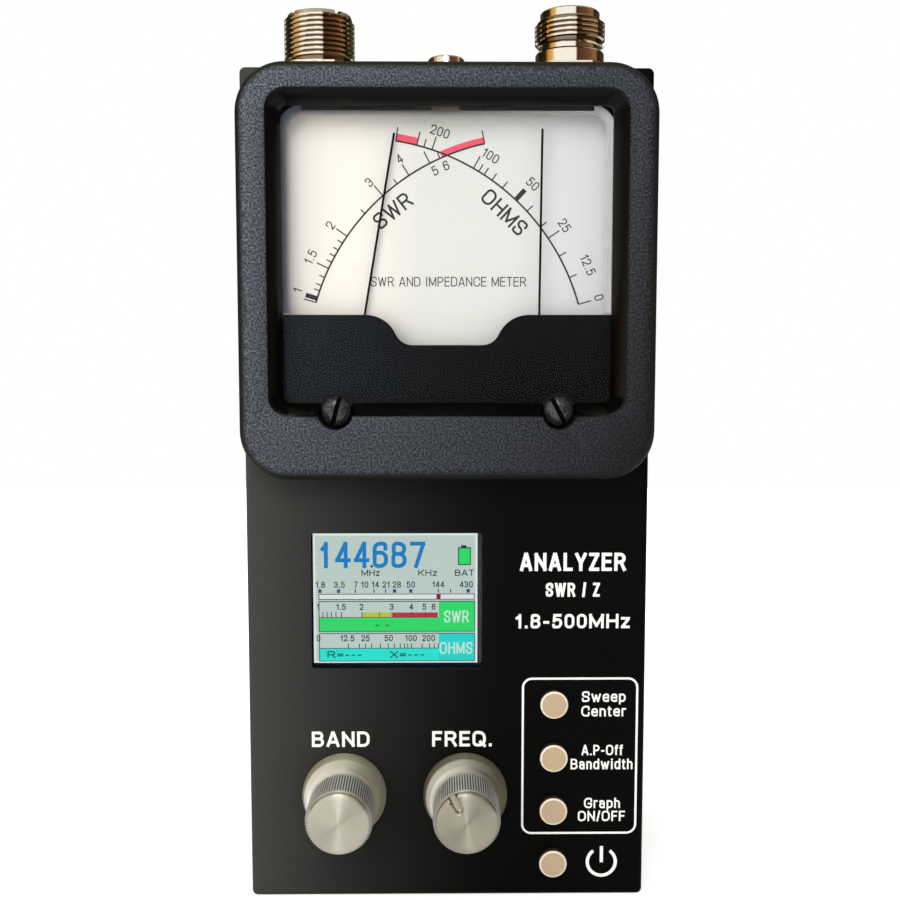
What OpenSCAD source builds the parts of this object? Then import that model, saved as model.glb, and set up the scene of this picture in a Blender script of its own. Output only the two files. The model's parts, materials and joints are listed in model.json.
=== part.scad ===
// Handheld antenna analyzer: a cross-needle meter over a small colour display, two knobs
// and four push buttons on the panel, two coaxial sockets and a power jack on top.
// Millimetres. The origin is the centre of the flat bottom. The panel faces -Y, and +Z is up.

/* [Case] */
// Width of the case
case_w = 85; // [85:1:110]
// Height of the case
case_h = 176; // [174:1:210]
// Depth of the case from the panel to the rear cover
case_d = 50; // [48:1:70]
// Thickness of the case sheet
sheet_t = 1.2; // [0.8:0.1:1.6]
// Outside radius of the folded edges
edge_r = 1.2; // [0.6:0.1:2]
// Gap round the rear cover
cover_gap = 0.15; // [0.1:0.05:0.4]
// Depth of the rear cover's side flanges
flange_d = 12; // [8:1:16]
// Width of the lips that the rear cover lies on
lip_w = 11; // [10:1:14]
// Diameter of the case screws
case_screw_d = 3; // [2.5:0.5:3.5]
// Length of the case screws
case_screw_len = 6; // [5:1:10]
// Distance of the case screws from the ends and sides
case_screw_inset = 7.5; // [7:0.5:9]

/* [Meter bezel and window] */
// Gap between the bezel's side and the case's side
bezel_side = 0.2; // [0:0.1:1]
// Height of the bezel
bezel_h = 83.3; // [80:0.1:84]
// Distance of the bezel's top from the case's top
bezel_top = 0.7; // [0.5:0.1:3]
// How far the bezel stands in front of the panel
bezel_proud = 9; // [7:0.5:12]
// Corner radius of the bezel
bezel_r = 10; // [7:0.5:12]
// Rounding of the bezel's front edge
bezel_edge_r = 2.8; // [1:0.1:3.5]
// Width of the bezel's front at each side of the window
frame_w = 6.3; // [6:0.1:8]
// Height of the window opening in the bezel's front
window_h = 64.7; // [62:0.1:65]
// Height of the window's centre above the bezel's lower edge
window_z = 45.4; // [45:0.1:46]
// Corner radius of the window opening
window_r = 4; // [3:0.5:6]
// How far each side of the opening slopes inwards
window_taper = 2.5; // [1:0.1:2.8]
// Height of the bezel's inner lip in front of the panel
lip_proud = 4; // [3.8:0.1:5]
// Thickness of the straight part of the lip
lip_t = 0.6; // [0.4:0.1:1]
// Thickness of the clear window
pane_t = 1.5; // [1:0.1:2]
// Width of the window's edge behind the lip
pane_lap = 3; // [2.5:0.1:3.4]
// Width of the window's edge behind the foot of the lip
pane_foot = 6; // [5.5:0.1:7]
// Gap round the window and the meter case
meter_gap = 0.15; // [0.1:0.05:0.3]

/* [Meter screws] */
// Distance of each meter screw from the middle
meter_screw_x = 22.7; // [21.5:0.1:24]
// Height of the meter screws above the window opening's lower edge
meter_screw_rise = 0.85; // [0.6:0.05:1.2]
// Diameter of the meter screws
meter_screw_d = 3; // [2:0.5:3]
// Length of the meter screws under the head
meter_screw_len = 8; // [7:0.5:8.5]
// Diameter of the screw heads
meter_head_d = 6.1; // [5:0.1:6.4]
// Height of the domed screw heads
meter_head_t = 1.9; // [1.2:0.1:2.5]
// Height of the straight side of the screw heads
head_side_t = 0.6; // [0.3:0.1:0.9]
// Width of the screw slots
slot_w = 0.9; // [0.6:0.1:1.2]
// Lean of the left screw's slot, clockwise from upright
slot_left = 15; // [-90:1:90]
// Lean of the right screw's slot, clockwise from upright
slot_right = -27; // [-90:1:90]
// Diameter of the recess round each head
recess_d = 7.3; // [7:0.1:8]
// Thickness of the ears under the heads
ear_t = 1; // [0.8:0.1:1.5]
// Diameter of the bosses that take the screws
boss_d = 6.5; // [5.5:0.1:6.8]
// Length of the bosses
boss_len = 5.7; // [5:0.1:5.8]

/* [Meter case] */
// Wall of the meter case
meter_wall = 1.5; // [1:0.1:2]
// Thickness of the meter case's back
meter_back_t = 1.6; // [1:0.1:3]
// Thickness of the flange behind the panel
meter_flange_t = 1.5; // [1:0.1:2.5]
// Width of the flange behind the panel
meter_flange_w = 3; // [2:0.1:3.2]
// Side of the corner columns that carry the dial
column_w = 4; // [3:0.5:5]
// Thickness of the mask over the pivots
mask_t = 0.8; // [0.5:0.1:1.2]
// Thickness of the dial
dial_t = 0.8; // [0.5:0.1:1]
// Diameter of the dial's holes round the pivots
dial_hole_d = 4; // [3.6:0.1:5]
// Distance from the mask to the dial
needle_room = 3.3; // [3.2:0.1:5]
// Height of the mask above the window opening's lower edge, at the sides
mask_rise = 20.55; // [19:0.05:21.5]
// How far the middle of the mask drops
mask_drop = 6.2; // [4:0.1:6.5]
// Half width of the flat at the bottom of the drop
mask_flat = 7.2; // [5:0.1:9]
// Half width of the drop at the mask's top
mask_half = 16.8; // [15:0.1:19]

/* [Meter movements] */
// Distance of each pivot from the middle
pivot_x = 19; // [18:0.1:20]
// Height of the pivots above the window opening's lower edge
pivot_rise = 9.95; // [9.5:0.05:10.5]
// Distance of the pointers' tips from the meter case's top wall
tip_gap = 5.25; // [4.8:0.05:8]
// Width of a pointer
needle_w = 0.44; // [0.3:0.02:0.6]
// Thickness of a pointer
needle_t = 0.3; // [0.2:0.05:0.4]
// Length of a pointer's tail
tail_len = 5.4; // [4:0.1:5.6]
// Diameter of a pointer's hub
hub_d = 3.2; // [2.4:0.1:3.6]
// Distance from the dial to the lower pointer
needle_low = 0.7; // [0.6:0.05:0.9]
// Distance from the dial to the upper pointer
needle_high = 1.9; // [1.8:0.05:2.1]
// Lean of the OHMS pointer, clockwise from upright
ohms_lean = 9.6; // [8:0.1:12]
// Lean of the SWR pointer, clockwise from upright
swr_lean = 0.6; // [-1:0.1:2]
// Lean of each pointer at the zero end of its scale
zero_lean = 75.2; // [70:0.1:75.5]
// Diameter of the pivot shafts
arbor_d = 1; // [0.8:0.05:1.2]
// Running clearance round the pivots
pivot_gap = 0.05; // [0.03:0.01:0.08]
// Diameter of the magnet cores
core_d = 10; // [8:0.5:10]
// Length of the magnet cores and yokes
core_len = 5.5; // [4.5:0.1:6]
// Radial gap between a core and its yoke
air_gap = 2.2; // [2:0.1:2.4]
// Radial thickness of a yoke
yoke_wall = 3.3; // [2.5:0.1:3.5]
// Angle of the webs that hold a core
web_angle = 24; // [15:1:30]
// Thickness of the coil's frame along the pivot
coil_wall = 0.8; // [0.5:0.1:1]
// Radial thickness of the coil's sides
coil_leg = 1.4; // [1:0.1:1.5]
// Width of the coil's sides
coil_w = 2.4; // [1.6:0.1:2.6]
// Clearance between neighbours along a pivot
stack_gap = 0.25; // [0.2:0.05:0.3]
// Thickness of the bearing bridges
bridge_t = 1; // [0.8:0.1:1.2]
// Width of the front bridges
bridge_w = 3.6; // [3:0.2:5]
// Diameter of the bridge posts
post_d = 2.4; // [2:0.1:2.6]
// Diameter of the rear bearings
bearing_d = 8; // [6:0.5:9]
// Turns of a hairspring
hairspring_turns = 4; // [3:1:5]
// Outer radius of a hairspring
hairspring_r = 4; // [3.6:0.1:4.6]
// Height of a hairspring's strip
hairspring_h = 0.4; // [0.3:0.05:0.4]
// Thickness of a hairspring's strip
hairspring_t = 0.15; // [0.1:0.05:0.2]
// Radial thickness of a hairspring's collet
collet_wall = 0.5; // [0.3:0.05:0.6]
// Distance of the stop pins from the pivot
stop_r = 8; // [7.5:0.1:8.5]
// Diameter of the stop pins
stop_d = 0.8; // [0.6:0.1:1]

/* [Display] */
// Width of the display opening in the panel
lcd_w = 36.5; // [35:0.5:38]
// Height of the display opening in the panel
lcd_h = 29.4; // [28:0.2:31]
// Distance of the display opening from the case's left side
lcd_edge = 13.5; // [12:0.1:16]
// Height of the middle of the display opening
lcd_z = 65.1; // [64:0.1:68]
// Corner radius of the display opening
lcd_r = 0.8; // [0.4:0.1:2]
// Thickness of the display window
lcd_window_t = 1; // [0.6:0.1:1.5]
// Width of the display window's edge behind the panel
lcd_lap = 2; // [1.5:0.1:2.6]
// Width of the display module
lcd_module_w = 46.7; // [44:0.1:48]
// Height of the display module
lcd_module_h = 34.7; // [34:0.1:35]
// Thickness of the display glass
lcd_glass_t = 2.2; // [1.6:0.1:2.6]
// How far the module lies off the opening's middle
lcd_module_shift = 3; // [2:0.5:4]
// Wall of the display frame
lcd_frame_t = 0.8; // [0.5:0.1:1]
// Clearance round the display parts
lcd_gap = 0.2; // [0.1:0.05:0.3]

/* [Buttons] */
// Distance of the buttons from the case's right side
button_edge = 19.65; // [18:0.05:20]
// Height of the lowest button
button_z = 7.6; // [7:0.1:9]
// Distance from one button to the next
button_pitch = 11.75; // [11:0.05:12]
// Diameter of a button
button_d = 6; // [5:0.1:6.6]
// How far a button stands in front of the panel
button_proud = 1.5; // [1:0.1:3]
// Travel of a button
button_travel = 0.3; // [0.2:0.05:0.5]
// Radial gap round a button
button_gap = 0.15; // [0.1:0.05:0.25]
// Width of the shoulder that keeps a button in
shoulder_w = 0.9; // [0.6:0.1:1.2]
// Thickness of the shoulder
shoulder_t = 0.8; // [0.5:0.1:1]
// Diameter of a button's stem
stem_d = 3.5; // [3:0.1:4]
// Side of a tact switch
switch_w = 6; // [5:0.1:6.5]
// Height of a tact switch's body
switch_h = 3.4; // [3:0.1:3.6]
// Height of a tact switch's plunger
plunger_h = 0.35; // [0.3:0.05:0.5]
// Rounding of a button's front edge
button_round = 0.4; // [0.1:0.1:0.6]

/* [Knobs] */
// Distance of the BAND knob from the case's left side
band_edge = 20.4; // [18:0.1:21]
// Distance from one knob to the other
knob_pitch = 25.95; // [25:0.05:27]
// Height of both knobs
knob_z = 23.2; // [23:0.1:24]
// Diameter of the skirt
skirt_d = 18; // [16:0.5:18.5]
// Diameter of the skirt where it meets the grip
shoulder_d = 15.2; // [14.8:0.2:15.6]
// Height of the skirt
skirt_h = 4.8; // [4:0.1:5.5]
// Thickness of the skirt's rim
rim_t = 1.1; // [0.6:0.1:2]
// Diameter of the knurled grip
grip_d = 13.8; // [13.2:0.1:14.2]
// Height of the bottom of the knurl
knurl_low = 6.4; // [6:0.1:7]
// Height of the top of the knurl
knurl_high = 14.4; // [12:0.1:15]
// Number of knurl ridges
knurl_n = 76; // [40:2:90]
// Depth of the knurl
knurl_depth = 0.3; // [0.1:0.05:0.4]
// How far the neck lies under the knurl's valleys
knurl_sink = 0.15; // [0.1:0.05:0.2]
// Diameter of the face
face_d = 12.7; // [12:0.1:13]
// Height of the knob from its underside
knob_h = 15.7; // [15.4:0.1:18]
// Height of the face's slight cone
face_crown = 0.25; // [0.1:0.05:0.5]
// Size of the small bevels on the knob
knob_round = 0.35; // [0.2:0.05:0.5]
// Gap between a knob and the panel
knob_gap = 0.5; // [0.3:0.1:1]
// Clearance in the hollow under the knob, round the nut and over the bushing
hollow_gap = 0.5; // [0.3:0.05:0.7]
// Width of the FREQ knob's index groove
index_w = 1.5; // [1:0.1:2]
// Distance of the groove's inner end from the middle
index_r = 2.6; // [1.5:0.1:4]
// Depth of the index groove
index_depth = 0.7; // [0.3:0.1:1]
// Direction of the index groove, anticlockwise from the top
index_angle = 28; // [0:1:90]
// Diameter of the encoder shafts
shaft_d = 6; // [5:0.5:6]
// Length of the encoder shafts in front of the panel
shaft_len = 13.5; // [12:0.5:14]
// Clearance of the shafts in their bushings
shaft_gap = 0.05; // [0.02:0.01:0.09]
// Diameter of the bushings
bushing_d = 7.6; // [7.6:0.1:8]
// Length of the bushings from the panel's inner face
bushing_len = 5; // [4.8:0.1:5.2]
// Width across flats of the encoder nuts
encoder_nut_w = 10; // [9.5:0.5:10.5]
// Thickness of the encoder nuts
encoder_nut_t = 2; // [1.6:0.1:2.2]
// Diameter of the encoder washers
encoder_washer_d = 11.4; // [10:0.2:12]
// Thickness of the encoder washers
encoder_washer_t = 0.5; // [0.3:0.1:0.8]
// Side of the encoder bodies
encoder_w = 12.4; // [11:0.1:13]
// Diameter of the set screws
set_screw_d = 2.5; // [2:0.1:3]
// Length of the set screws
set_screw_len = 3; // [2:0.1:3.2]
// Height of the set screws above the knob's underside
set_screw_h = 9.6; // [9:0.1:11]

/* [UHF socket] */
// Distance of the UHF socket from the case's left side
uhf_edge = 13.8; // [12.5:0.1:14.5]
// Distance of the sockets behind the panel's front
socket_y = 26.8; // [26:0.1:28]
// Diameter over the socket threads
thread_d = 15.875; // [14:0.125:16]
// Height of the UHF socket above the case
uhf_h = 17.4; // [15:0.1:20]
// Length of the UHF socket below the case's top
uhf_in = 9; // [7:0.5:11]
// Inner diameter of the UHF socket
uhf_bore_d = 12; // [11.5:0.1:12.4]
// Depth of the hollow in the UHF socket
uhf_hollow = 6.5; // [5:0.1:8]
// How far the UHF contact stands above its insulator
uhf_contact_rise = 1; // [0.5:0.1:2]
// Bevel at the UHF socket's rim
uhf_chamfer = 0.9; // [0.4:0.1:1.2]
// Diameter of the groove between the UHF socket's nut and its bare thread
uhf_groove_d = 14.6; // [13.8:0.1:14.8]
// Length of that groove
uhf_groove_len = 0.6; // [0.4:0.1:1]
// Diameter of the UHF centre contact
uhf_contact_d = 5.8; // [5.4:0.1:6.2]
// Diameter of the hole in the UHF centre contact
uhf_hole_d = 4; // [3.8:0.05:4.2]
// Depth of the hole in the UHF centre contact
uhf_hole_h = 11; // [9:0.5:13]
// Width across flats of the socket nuts
socket_nut_w = 18.6; // [18.4:0.1:19.4]
// Thickness of the socket nuts
socket_nut_t = 4.6; // [3:0.1:5]
// Diameter over the socket nuts' turned corners
nut_corner_d = 20.2; // [19.6:0.1:21.2]
// Diameter of the socket washers
washer_d = 20; // [18:0.5:21]
// Thickness of the socket washers
washer_t = 1.2; // [0.8:0.1:1.6]
// Diameter of the sockets' inner flanges
inner_flange_d = 20; // [18:0.5:21]
// Thickness of the inner flanges
inner_flange_t = 2.5; // [2:0.1:3]
// Diameter of the solder pins
solder_pin_d = 2; // [1.5:0.1:2.2]
// Length of the solder pins
solder_pin_len = 9; // [7:0.5:10]
// Clearance between threads and the parts screwed on them
thread_gap = 0.05; // [0.03:0.01:0.1]
// Small bevels on the N socket and the power jack
rim_chamfer = 0.4; // [0.2:0.1:0.6]

/* [N socket] */
// Distance of the N socket from the case's right side
nsocket_edge = 14.45; // [12.5:0.05:15]
// Height of the N socket above the case
nsocket_h = 18.4; // [17:0.1:20]
// Height of the plain rim over the thread
nsocket_rim_h = 2; // [1:0.1:2.5]
// Diameter of the plain rim
nsocket_rim_d = 13.4; // [12.5:0.1:14]
// Length of the thread
nsocket_thread_len = 5.6; // [5:0.1:6]
// Length of the groove under the thread
nsocket_groove_len = 1.3; // [1:0.1:1.5]
// Diameter of the groove under the thread
nsocket_groove_d = 13.5; // [12.8:0.1:14]
// Diameter of the plain barrel
nsocket_barrel_d = 15.5; // [14.8:0.1:15.8]
// Inner diameter of the N socket
nsocket_bore_d = 8.5; // [8.2:0.1:9]
// Depth of the hollow in the N socket
nsocket_hollow = 9.1; // [8:0.1:10]
// Diameter of the N centre contact
nsocket_contact_d = 3; // [2.8:0.1:3.4]
// Depth of the contact's tip below the rim
nsocket_contact_drop = 4.3; // [4.1:0.1:4.6]
// Diameter of the hole in the N centre contact
nsocket_hole_d = 1.65; // [1.6:0.05:1.8]
// Depth of the hole in the N centre contact
nsocket_hole_h = 4.5; // [4:0.5:4.5]

/* [Power jack] */
// Distance of the jack from the middle of the case
jack_x = 0; // [-1:0.5:1]
// Outer diameter of the jack
jack_d = 8.2; // [7.8:0.1:9]
// Height of the jack above the case
jack_h = 8.3; // [7:0.1:10]
// Inner diameter of the jack
jack_bore_d = 5.6; // [5.4:0.1:6]
// Depth of the jack's bore
jack_bore_h = 9.5; // [8:0.5:11]
// Diameter of the jack's centre pin
jack_pin_d = 2.1; // [1.9:0.1:2.3]
// How far the pin's tip lies below the rim
jack_pin_drop = 1.5; // [0.5:0.1:2]
// Diameter of the pin's root in the base
jack_root_d = 1.8; // [1.4:0.1:1.8]
// Length of the pin's root in the base
jack_root_len = 3; // [2:0.5:4]
// Width across flats of the jack's nut
jack_nut_w = 11; // [10.5:0.5:12]
// Thickness of the jack's nut
jack_nut_t = 2.2; // [1.5:0.1:3]
// Thickness of the jack's collar under the case's top
jack_collar = 1.5; // [1:0.1:2]
// Diameter of the jack's base
jack_base_d = 11; // [10.5:0.5:12]
// Length of the jack's base
jack_base_len = 10; // [8:0.5:11]

/* [Boards] */
// Thickness of the circuit boards
board_t = 1.6; // [1:0.1:2]
// Depth of an encoder body, which sets the control board's distance
encoder_len = 7; // [7:0.1:9]
// Gap between the control board and the case's sides
control_side = 1.8; // [1:0.1:3]
// Height of the control board
control_h = 84; // [82:1:85]
// Height of the control board's lower edge
control_z = 3.5; // [3:0.5:5]
// Distance of the control board's holes from its edges
control_inset = 3.4; // [3:0.1:4]
// Diameter of the stand-offs
standoff_d = 5; // [4:0.5:6]
// Diameter of the board screws
board_screw_d = 2.5; // [2:0.5:3]
// Length of the board screws under the head
board_screw_len = 4; // [2.5:0.5:5]
// Diameter of the board screws' heads
board_head_d = 4.5; // [4:0.1:5]
// Thickness of the board screws' heads
board_head_t = 1.6; // [1:0.1:2]
// Gap between the radio-frequency board and the case's sides
rf_side = 4.3; // [3:0.1:6]
// Height of the radio-frequency board
rf_h = 58; // [56:1:60]
// Distance from the radio-frequency board's top to the case's top
rf_drop = 16.5; // [16:0.5:18]
// Gap between the solder pins and the radio-frequency board
rf_gap = 0.2; // [0.1:0.05:0.3]
// Distance of the lower studs from the middle
stud_low_x = 5; // [4:0.5:5]
// Height of the lower studs above the window opening's lower edge
stud_low_rise = 2.95; // [1:0.05:3.5]
// Distance of the upper studs from the middle
stud_high_x = 14; // [10:0.5:15]
// Height of the upper studs above the window opening's lower edge
stud_high_rise = 44.95; // [37:0.05:46]
// Diameter of the meter studs
stud_d = 3; // [2.5:0.5:3]
// Diameter of the spacers on the studs
spacer_d = 6; // [5:0.5:7]
// Width across flats of the stud nuts
stud_nut_w = 5.5; // [5:0.5:6]
// Thickness of the stud nuts
stud_nut_t = 2.4; // [1.5:0.1:3]
// Width of the shield can
can_w = 60; // [50:1:62]
// Height of the shield can
can_h = 26; // [20:1:28]
// Depth of the shield can
can_d = 8; // [5:0.5:10]
// Wall of the shield can
can_t = 0.4; // [0.3:0.1:0.6]

/* [Batteries] */
// Number of cells
cells = 6; // [4:1:6]
// Diameter of a cell
cell_d = 14.3; // [13.8:0.1:14.5]
// Length of a cell without its nub
cell_len = 49.5; // [48:0.5:50]
// Diameter of a cell's nub
nub_d = 5.4; // [5:0.1:5.6]
// Height of a cell's nub
nub_h = 1; // [0.8:0.1:1.2]
// Clearance round a cell
cell_gap = 0.3; // [0.2:0.1:0.5]
// Space for the spring at a cell's flat end
spring_room = 2; // [1.5:0.1:3]
// Thickness of the battery contacts
contact_t = 0.4; // [0.3:0.1:0.6]
// Side of the battery contacts
contact_w = 10.8; // [9:0.1:11.5]
// Diameter of the contact springs at the plate
spring_d = 8; // [6:0.5:9]
// Diameter of the contact springs at the cell
spring_tip_d = 5; // [4:0.5:6]
// Wall of the battery holder
holder_wall = 1.5; // [1:0.1:2]
// Depth of the battery holder's sides
holder_side = 11; // [8:0.5:13]
// Gap between the rear cover's lower lip and the battery holder
holder_gap = 0.8; // [0.5:0.1:2]

/* [Hidden] */

$fn = 64;
over = 1; // how far a cut runs past the face it opens

panel_y = -case_d / 2;
inner_y = panel_y + sheet_t;
back_y = case_d / 2;
cover_y = back_y - sheet_t;
inner_w = case_w - 2 * sheet_t;
inner_h = case_h - 2 * sheet_t;
roof_z = case_h - sheet_t;

// Places across the panel
bezel_w = case_w - 2 * bezel_side;
window_w = bezel_w - 2 * frame_w;
lcd_x = lcd_edge + (lcd_w - case_w) / 2;
button_x = case_w / 2 - button_edge;
band_x = band_edge - case_w / 2;
freq_x = band_x + knob_pitch;
uhf_x = uhf_edge - case_w / 2;
nsocket_x = case_w / 2 - nsocket_edge;
control_w = inner_w - 2 * control_side;
rf_w = inner_w - 2 * rf_side;

// Depths in the meter, from the front to the back
bezel_front = panel_y - bezel_proud;
lip_y = panel_y - lip_proud;
mask_y = lip_y + pane_t;
mask_back = mask_y + mask_t;
dial_y = mask_back + needle_room;
dial_back = dial_y + dial_t;
bridge_y = dial_back + stack_gap;
hairspring_y = bridge_y + bridge_t + stack_gap;
coil_y = hairspring_y + hairspring_h + stack_gap;
core_y = coil_y + coil_wall + stack_gap;
core_back = core_y + core_len;
coil_back = core_back + stack_gap + coil_wall;
bearing_y = coil_back + stack_gap;
meter_floor = bearing_y + bridge_t;
meter_back = meter_floor + meter_back_t;

// Heights in the meter
glass_w = window_w - 2 * window_taper;
glass_h = window_h - 2 * window_taper;
bezel_z = case_h - bezel_top - bezel_h;
window_c = bezel_z + window_z;
window_low = window_c - window_h / 2;
screw_z = window_low + meter_screw_rise;
axis_z = window_low + pivot_rise;
pane_w = glass_w + 2 * pane_lap;
pane_h = glass_h + pane_lap + pane_foot;
pane_c = window_c + (pane_lap - pane_foot) / 2;
needle_len = pane_c + pane_h / 2 - meter_wall - tip_gap - axis_z;

// Radii in the movements
core_r = core_d / 2;
yoke_in = core_r + air_gap;
yoke_out = yoke_in + yoke_wall;
post_r = (yoke_in + yoke_out) / 2;
leg_r = core_r + (air_gap - coil_leg) / 2;
ohms_mid = (ohms_lean + zero_lean) / 2;
swr_mid = (swr_lean - zero_lean) / 2;

// Depths behind the lower panel
control_y = inner_y + encoder_len;
control_back = control_y + board_t;
lcd_glass_y = inner_y + lcd_window_t + lcd_gap;
lcd_back = lcd_glass_y + lcd_glass_t;
switch_y = control_y - switch_h;
plunger_y = switch_y - plunger_h;
knob_y = panel_y - knob_gap;
hollow_d = encoder_nut_w / cos(30) + 2 * hollow_gap;
hollow_h = bushing_len - sheet_t - knob_gap + hollow_gap;

// The sockets
conn_y = panel_y + socket_y;
rf_y = conn_y + solder_pin_d / 2 + rf_gap;
rf_top = case_h - rf_drop;
studs = [
    [-stud_low_x, window_low + stud_low_rise], [stud_low_x, window_low + stud_low_rise],
    [-stud_high_x, window_low + stud_high_rise], [stud_high_x, window_low + stud_high_rise]
];
socket_nut_z = case_h + washer_t;
nsocket_rim_z = case_h + nsocket_h;
uhf_rim_z = case_h + uhf_h;
jack_rim_z = case_h + jack_h;

// The battery holder
cell_pitch = cell_d + 2 * cell_gap;
cell_room = cell_len + nub_h + spring_room + 2 * contact_t;
holder_h = cells * cell_pitch + 2 * holder_wall;
holder_w = cell_room + 2 * holder_wall;
holder_back = cover_y;
holder_z = sheet_t + lip_w + holder_gap;
holder_front = holder_back - holder_wall - holder_side;
cell_y = holder_back - holder_wall - cell_gap - cell_d / 2;

// Helpers

// A flat piece between two depths, from a shape drawn as seen from the front
module flat(y0, y1) translate([0, y1, 0]) rotate([90, 0, 0]) linear_extrude(y1 - y0) children();

// A round rod between two depths
module rod(x, z, y0, y1, d) translate([x, y1, z]) rotate([90, 0, 0]) cylinder(h = y1 - y0, d = d);

// A hexagonal prism between two depths
module hex_rod(x, z, y0, y1, across)
    translate([x, y1, z]) rotate([90, 0, 0]) cylinder(h = y1 - y0, d = across / cos(30), $fn = 6);

// A rectangle with round corners, centred on a point
module rounded(w, h, r, at = [0, 0]) translate(at) {
    square([w - 2 * r, h], center = true);
    square([w, h - 2 * r], center = true);
    for (sx = [-1, 1], sy = [-1, 1]) translate([sx * (w / 2 - r), sy * (h / 2 - r)]) circle(r);
}

// A rectangle centred on a point
module box2(w, h, at = [0, 0]) translate(at) square([w, h], center = true);

// A block with round corners whose rim has the profile drawn by the children, out from the
// corner's centre and up from the block's back
module rimmed(w, h, r, low, high) {
    runs = [[w / 2 - r, h - 2 * r, 0], [h / 2 - r, w - 2 * r, 90],
            [w / 2 - r, h - 2 * r, 180], [h / 2 - r, w - 2 * r, 270]];
    corners = [[1, 1, 0], [-1, 1, 90], [-1, -1, 180], [1, -1, 270]];
    for (c = corners)
        translate([c[0] * (w / 2 - r), c[1] * (h / 2 - r), 0]) rotate(c[2])
            rotate_extrude(angle = 90) children();
    for (s = runs)
        rotate(s[2]) translate([s[0], s[1] / 2, 0]) rotate([90, 0, 0]) linear_extrude(s[1]) children();
    translate([r - w / 2, r - h / 2, low]) cube([w - 2 * r, h - 2 * r, high - low]);
}

// The same block set against a depth, facing the viewer
module facing(y, z) translate([0, y, z]) rotate([90, 0, 0]) children();

// Quarter-round rim of a block
module round_rim(r, depth, edge) {
    square([r, depth - edge]);
    if (r > edge) square([r - edge, depth]);
    translate([r - edge, depth - edge]) intersection() {
        circle(edge);
        square(edge);
    }
}

// Angle clockwise from upright about a pivot, as seen from the front
module lean(x, z, angle) translate([x, 0, z]) rotate([0, angle, 0]) translate([-x, 0, -z]) children();

// Case

module meter_cutout(gap) rounded(pane_w + 2 * gap, pane_h + 2 * gap, window_r / 2, [0, pane_c]);

module meter_inside(gap) box2(pane_w - 2 * (meter_wall + gap), pane_h - 2 * (meter_wall + gap), [0, pane_c]);

module front_case() color("#232324") difference() {
    facing(cover_y + sheet_t, case_h / 2)
        rimmed(case_w, case_h, edge_r, 0, case_d) round_rim(edge_r, case_d, edge_r);
    // The hollow inside, and the opening that the rear cover closes
    translate([-inner_w / 2, inner_y, sheet_t]) cube([inner_w, case_d - 3 * sheet_t, inner_h]);
    translate([-inner_w / 2, inner_y, sheet_t + lip_w])
        cube([inner_w, case_d, inner_h - 2 * lip_w]);
    translate([-inner_w / 2, cover_y, sheet_t]) cube([inner_w, sheet_t + over, inner_h]);
    // Panel openings
    flat(panel_y - over, inner_y + over) {
        meter_cutout(meter_gap);
        rounded(lcd_w, lcd_h, lcd_r, [lcd_x, lcd_z]);
    }
    for (i = [0:3]) rod(button_x, button_z + i * button_pitch, panel_y - over, inner_y + over,
                        button_d + 2 * button_gap);
    for (x = [band_x, freq_x]) rod(x, knob_z, panel_y - over, inner_y + over, bushing_d + 2 * thread_gap);
    // Holes in the top
    for (x = [uhf_x, nsocket_x]) translate([x, conn_y, roof_z - over])
        cylinder(h = sheet_t + 2 * over, d = thread_d + 2 * thread_gap);
    translate([jack_x, conn_y, roof_z - over]) cylinder(h = sheet_t + 2 * over, d = jack_d + 2 * thread_gap);
    case_screw_places() rod(0, 0, cover_y - 2 * sheet_t, cover_y + over, case_screw_d + 2 * thread_gap);
}

module case_screw_places()
    for (sx = [-1, 1], z = [sheet_t + case_screw_inset, case_h - sheet_t - case_screw_inset])
        translate([sx * (inner_w / 2 - sheet_t - cover_gap - case_screw_inset), 0, z]) children();

module rear_cover() color("#232324") difference() {
    union() {
        flat(cover_y, back_y)
            rounded(inner_w - 2 * cover_gap, inner_h - 2 * cover_gap, edge_r, [0, case_h / 2]);
        for (sx = [-1, 1])
            translate([sx * (inner_w / 2 - cover_gap - sheet_t / 2), cover_y - flange_d / 2, case_h / 2])
                cube([sheet_t, flange_d, inner_h - 2 * lip_w - 2 * cover_gap], center = true);
    }
    case_screw_places() rod(0, 0, cover_y - over, back_y + over, case_screw_d + 2 * thread_gap);
    case_screw_places() screw_head(2 * thread_gap);
}

// Countersunk head, flush with the back
module screw_head(extra = 0)
    translate([0, back_y, 0]) rotate([90, 0, 0])
        cylinder(h = sheet_t, d1 = case_screw_d + 2 * sheet_t + extra, d2 = case_screw_d + extra);

module case_screws() color("#2b2b2c") case_screw_places() {
    screw_head();
    rod(0, 0, back_y - case_screw_len, cover_y, case_screw_d);
}

// Meter front

module meter_bezel() color("#2b2d33") {
    difference() {
        facing(panel_y, bezel_z + bezel_h / 2)
            rimmed(bezel_w, bezel_h, bezel_r, 0, bezel_proud)
                round_rim(bezel_r, bezel_proud, bezel_edge_r);
        facing(panel_y, window_c)
            rimmed(window_w, window_h, window_r, lip_proud - over, bezel_proud + over) window_rim();
        flat(lip_y, panel_y + over) meter_cutout(meter_gap);
        for (sx = [-1, 1])
            rod(sx * meter_screw_x, screw_z, bezel_front - over, lip_y + over, recess_d);
    }
    for (sx = [-1, 1]) difference() {
        intersection() {
            rod(sx * meter_screw_x, screw_z, lip_y - ear_t, lip_y, recess_d);
            flat(lip_y - ear_t, lip_y) meter_cutout(meter_gap);
        }
        rod(sx * meter_screw_x, screw_z, lip_y - ear_t - over, lip_y + over,
            meter_screw_d + 2 * thread_gap);
    }
}

// Sloping side of the window, over the straight lip
module window_rim()
    polygon([[0, lip_proud - over], [window_r - window_taper, lip_proud - over],
             [window_r - window_taper, lip_proud + lip_t], [window_r, bezel_proud],
             [window_r, bezel_proud + over], [0, bezel_proud + over]]);

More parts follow.
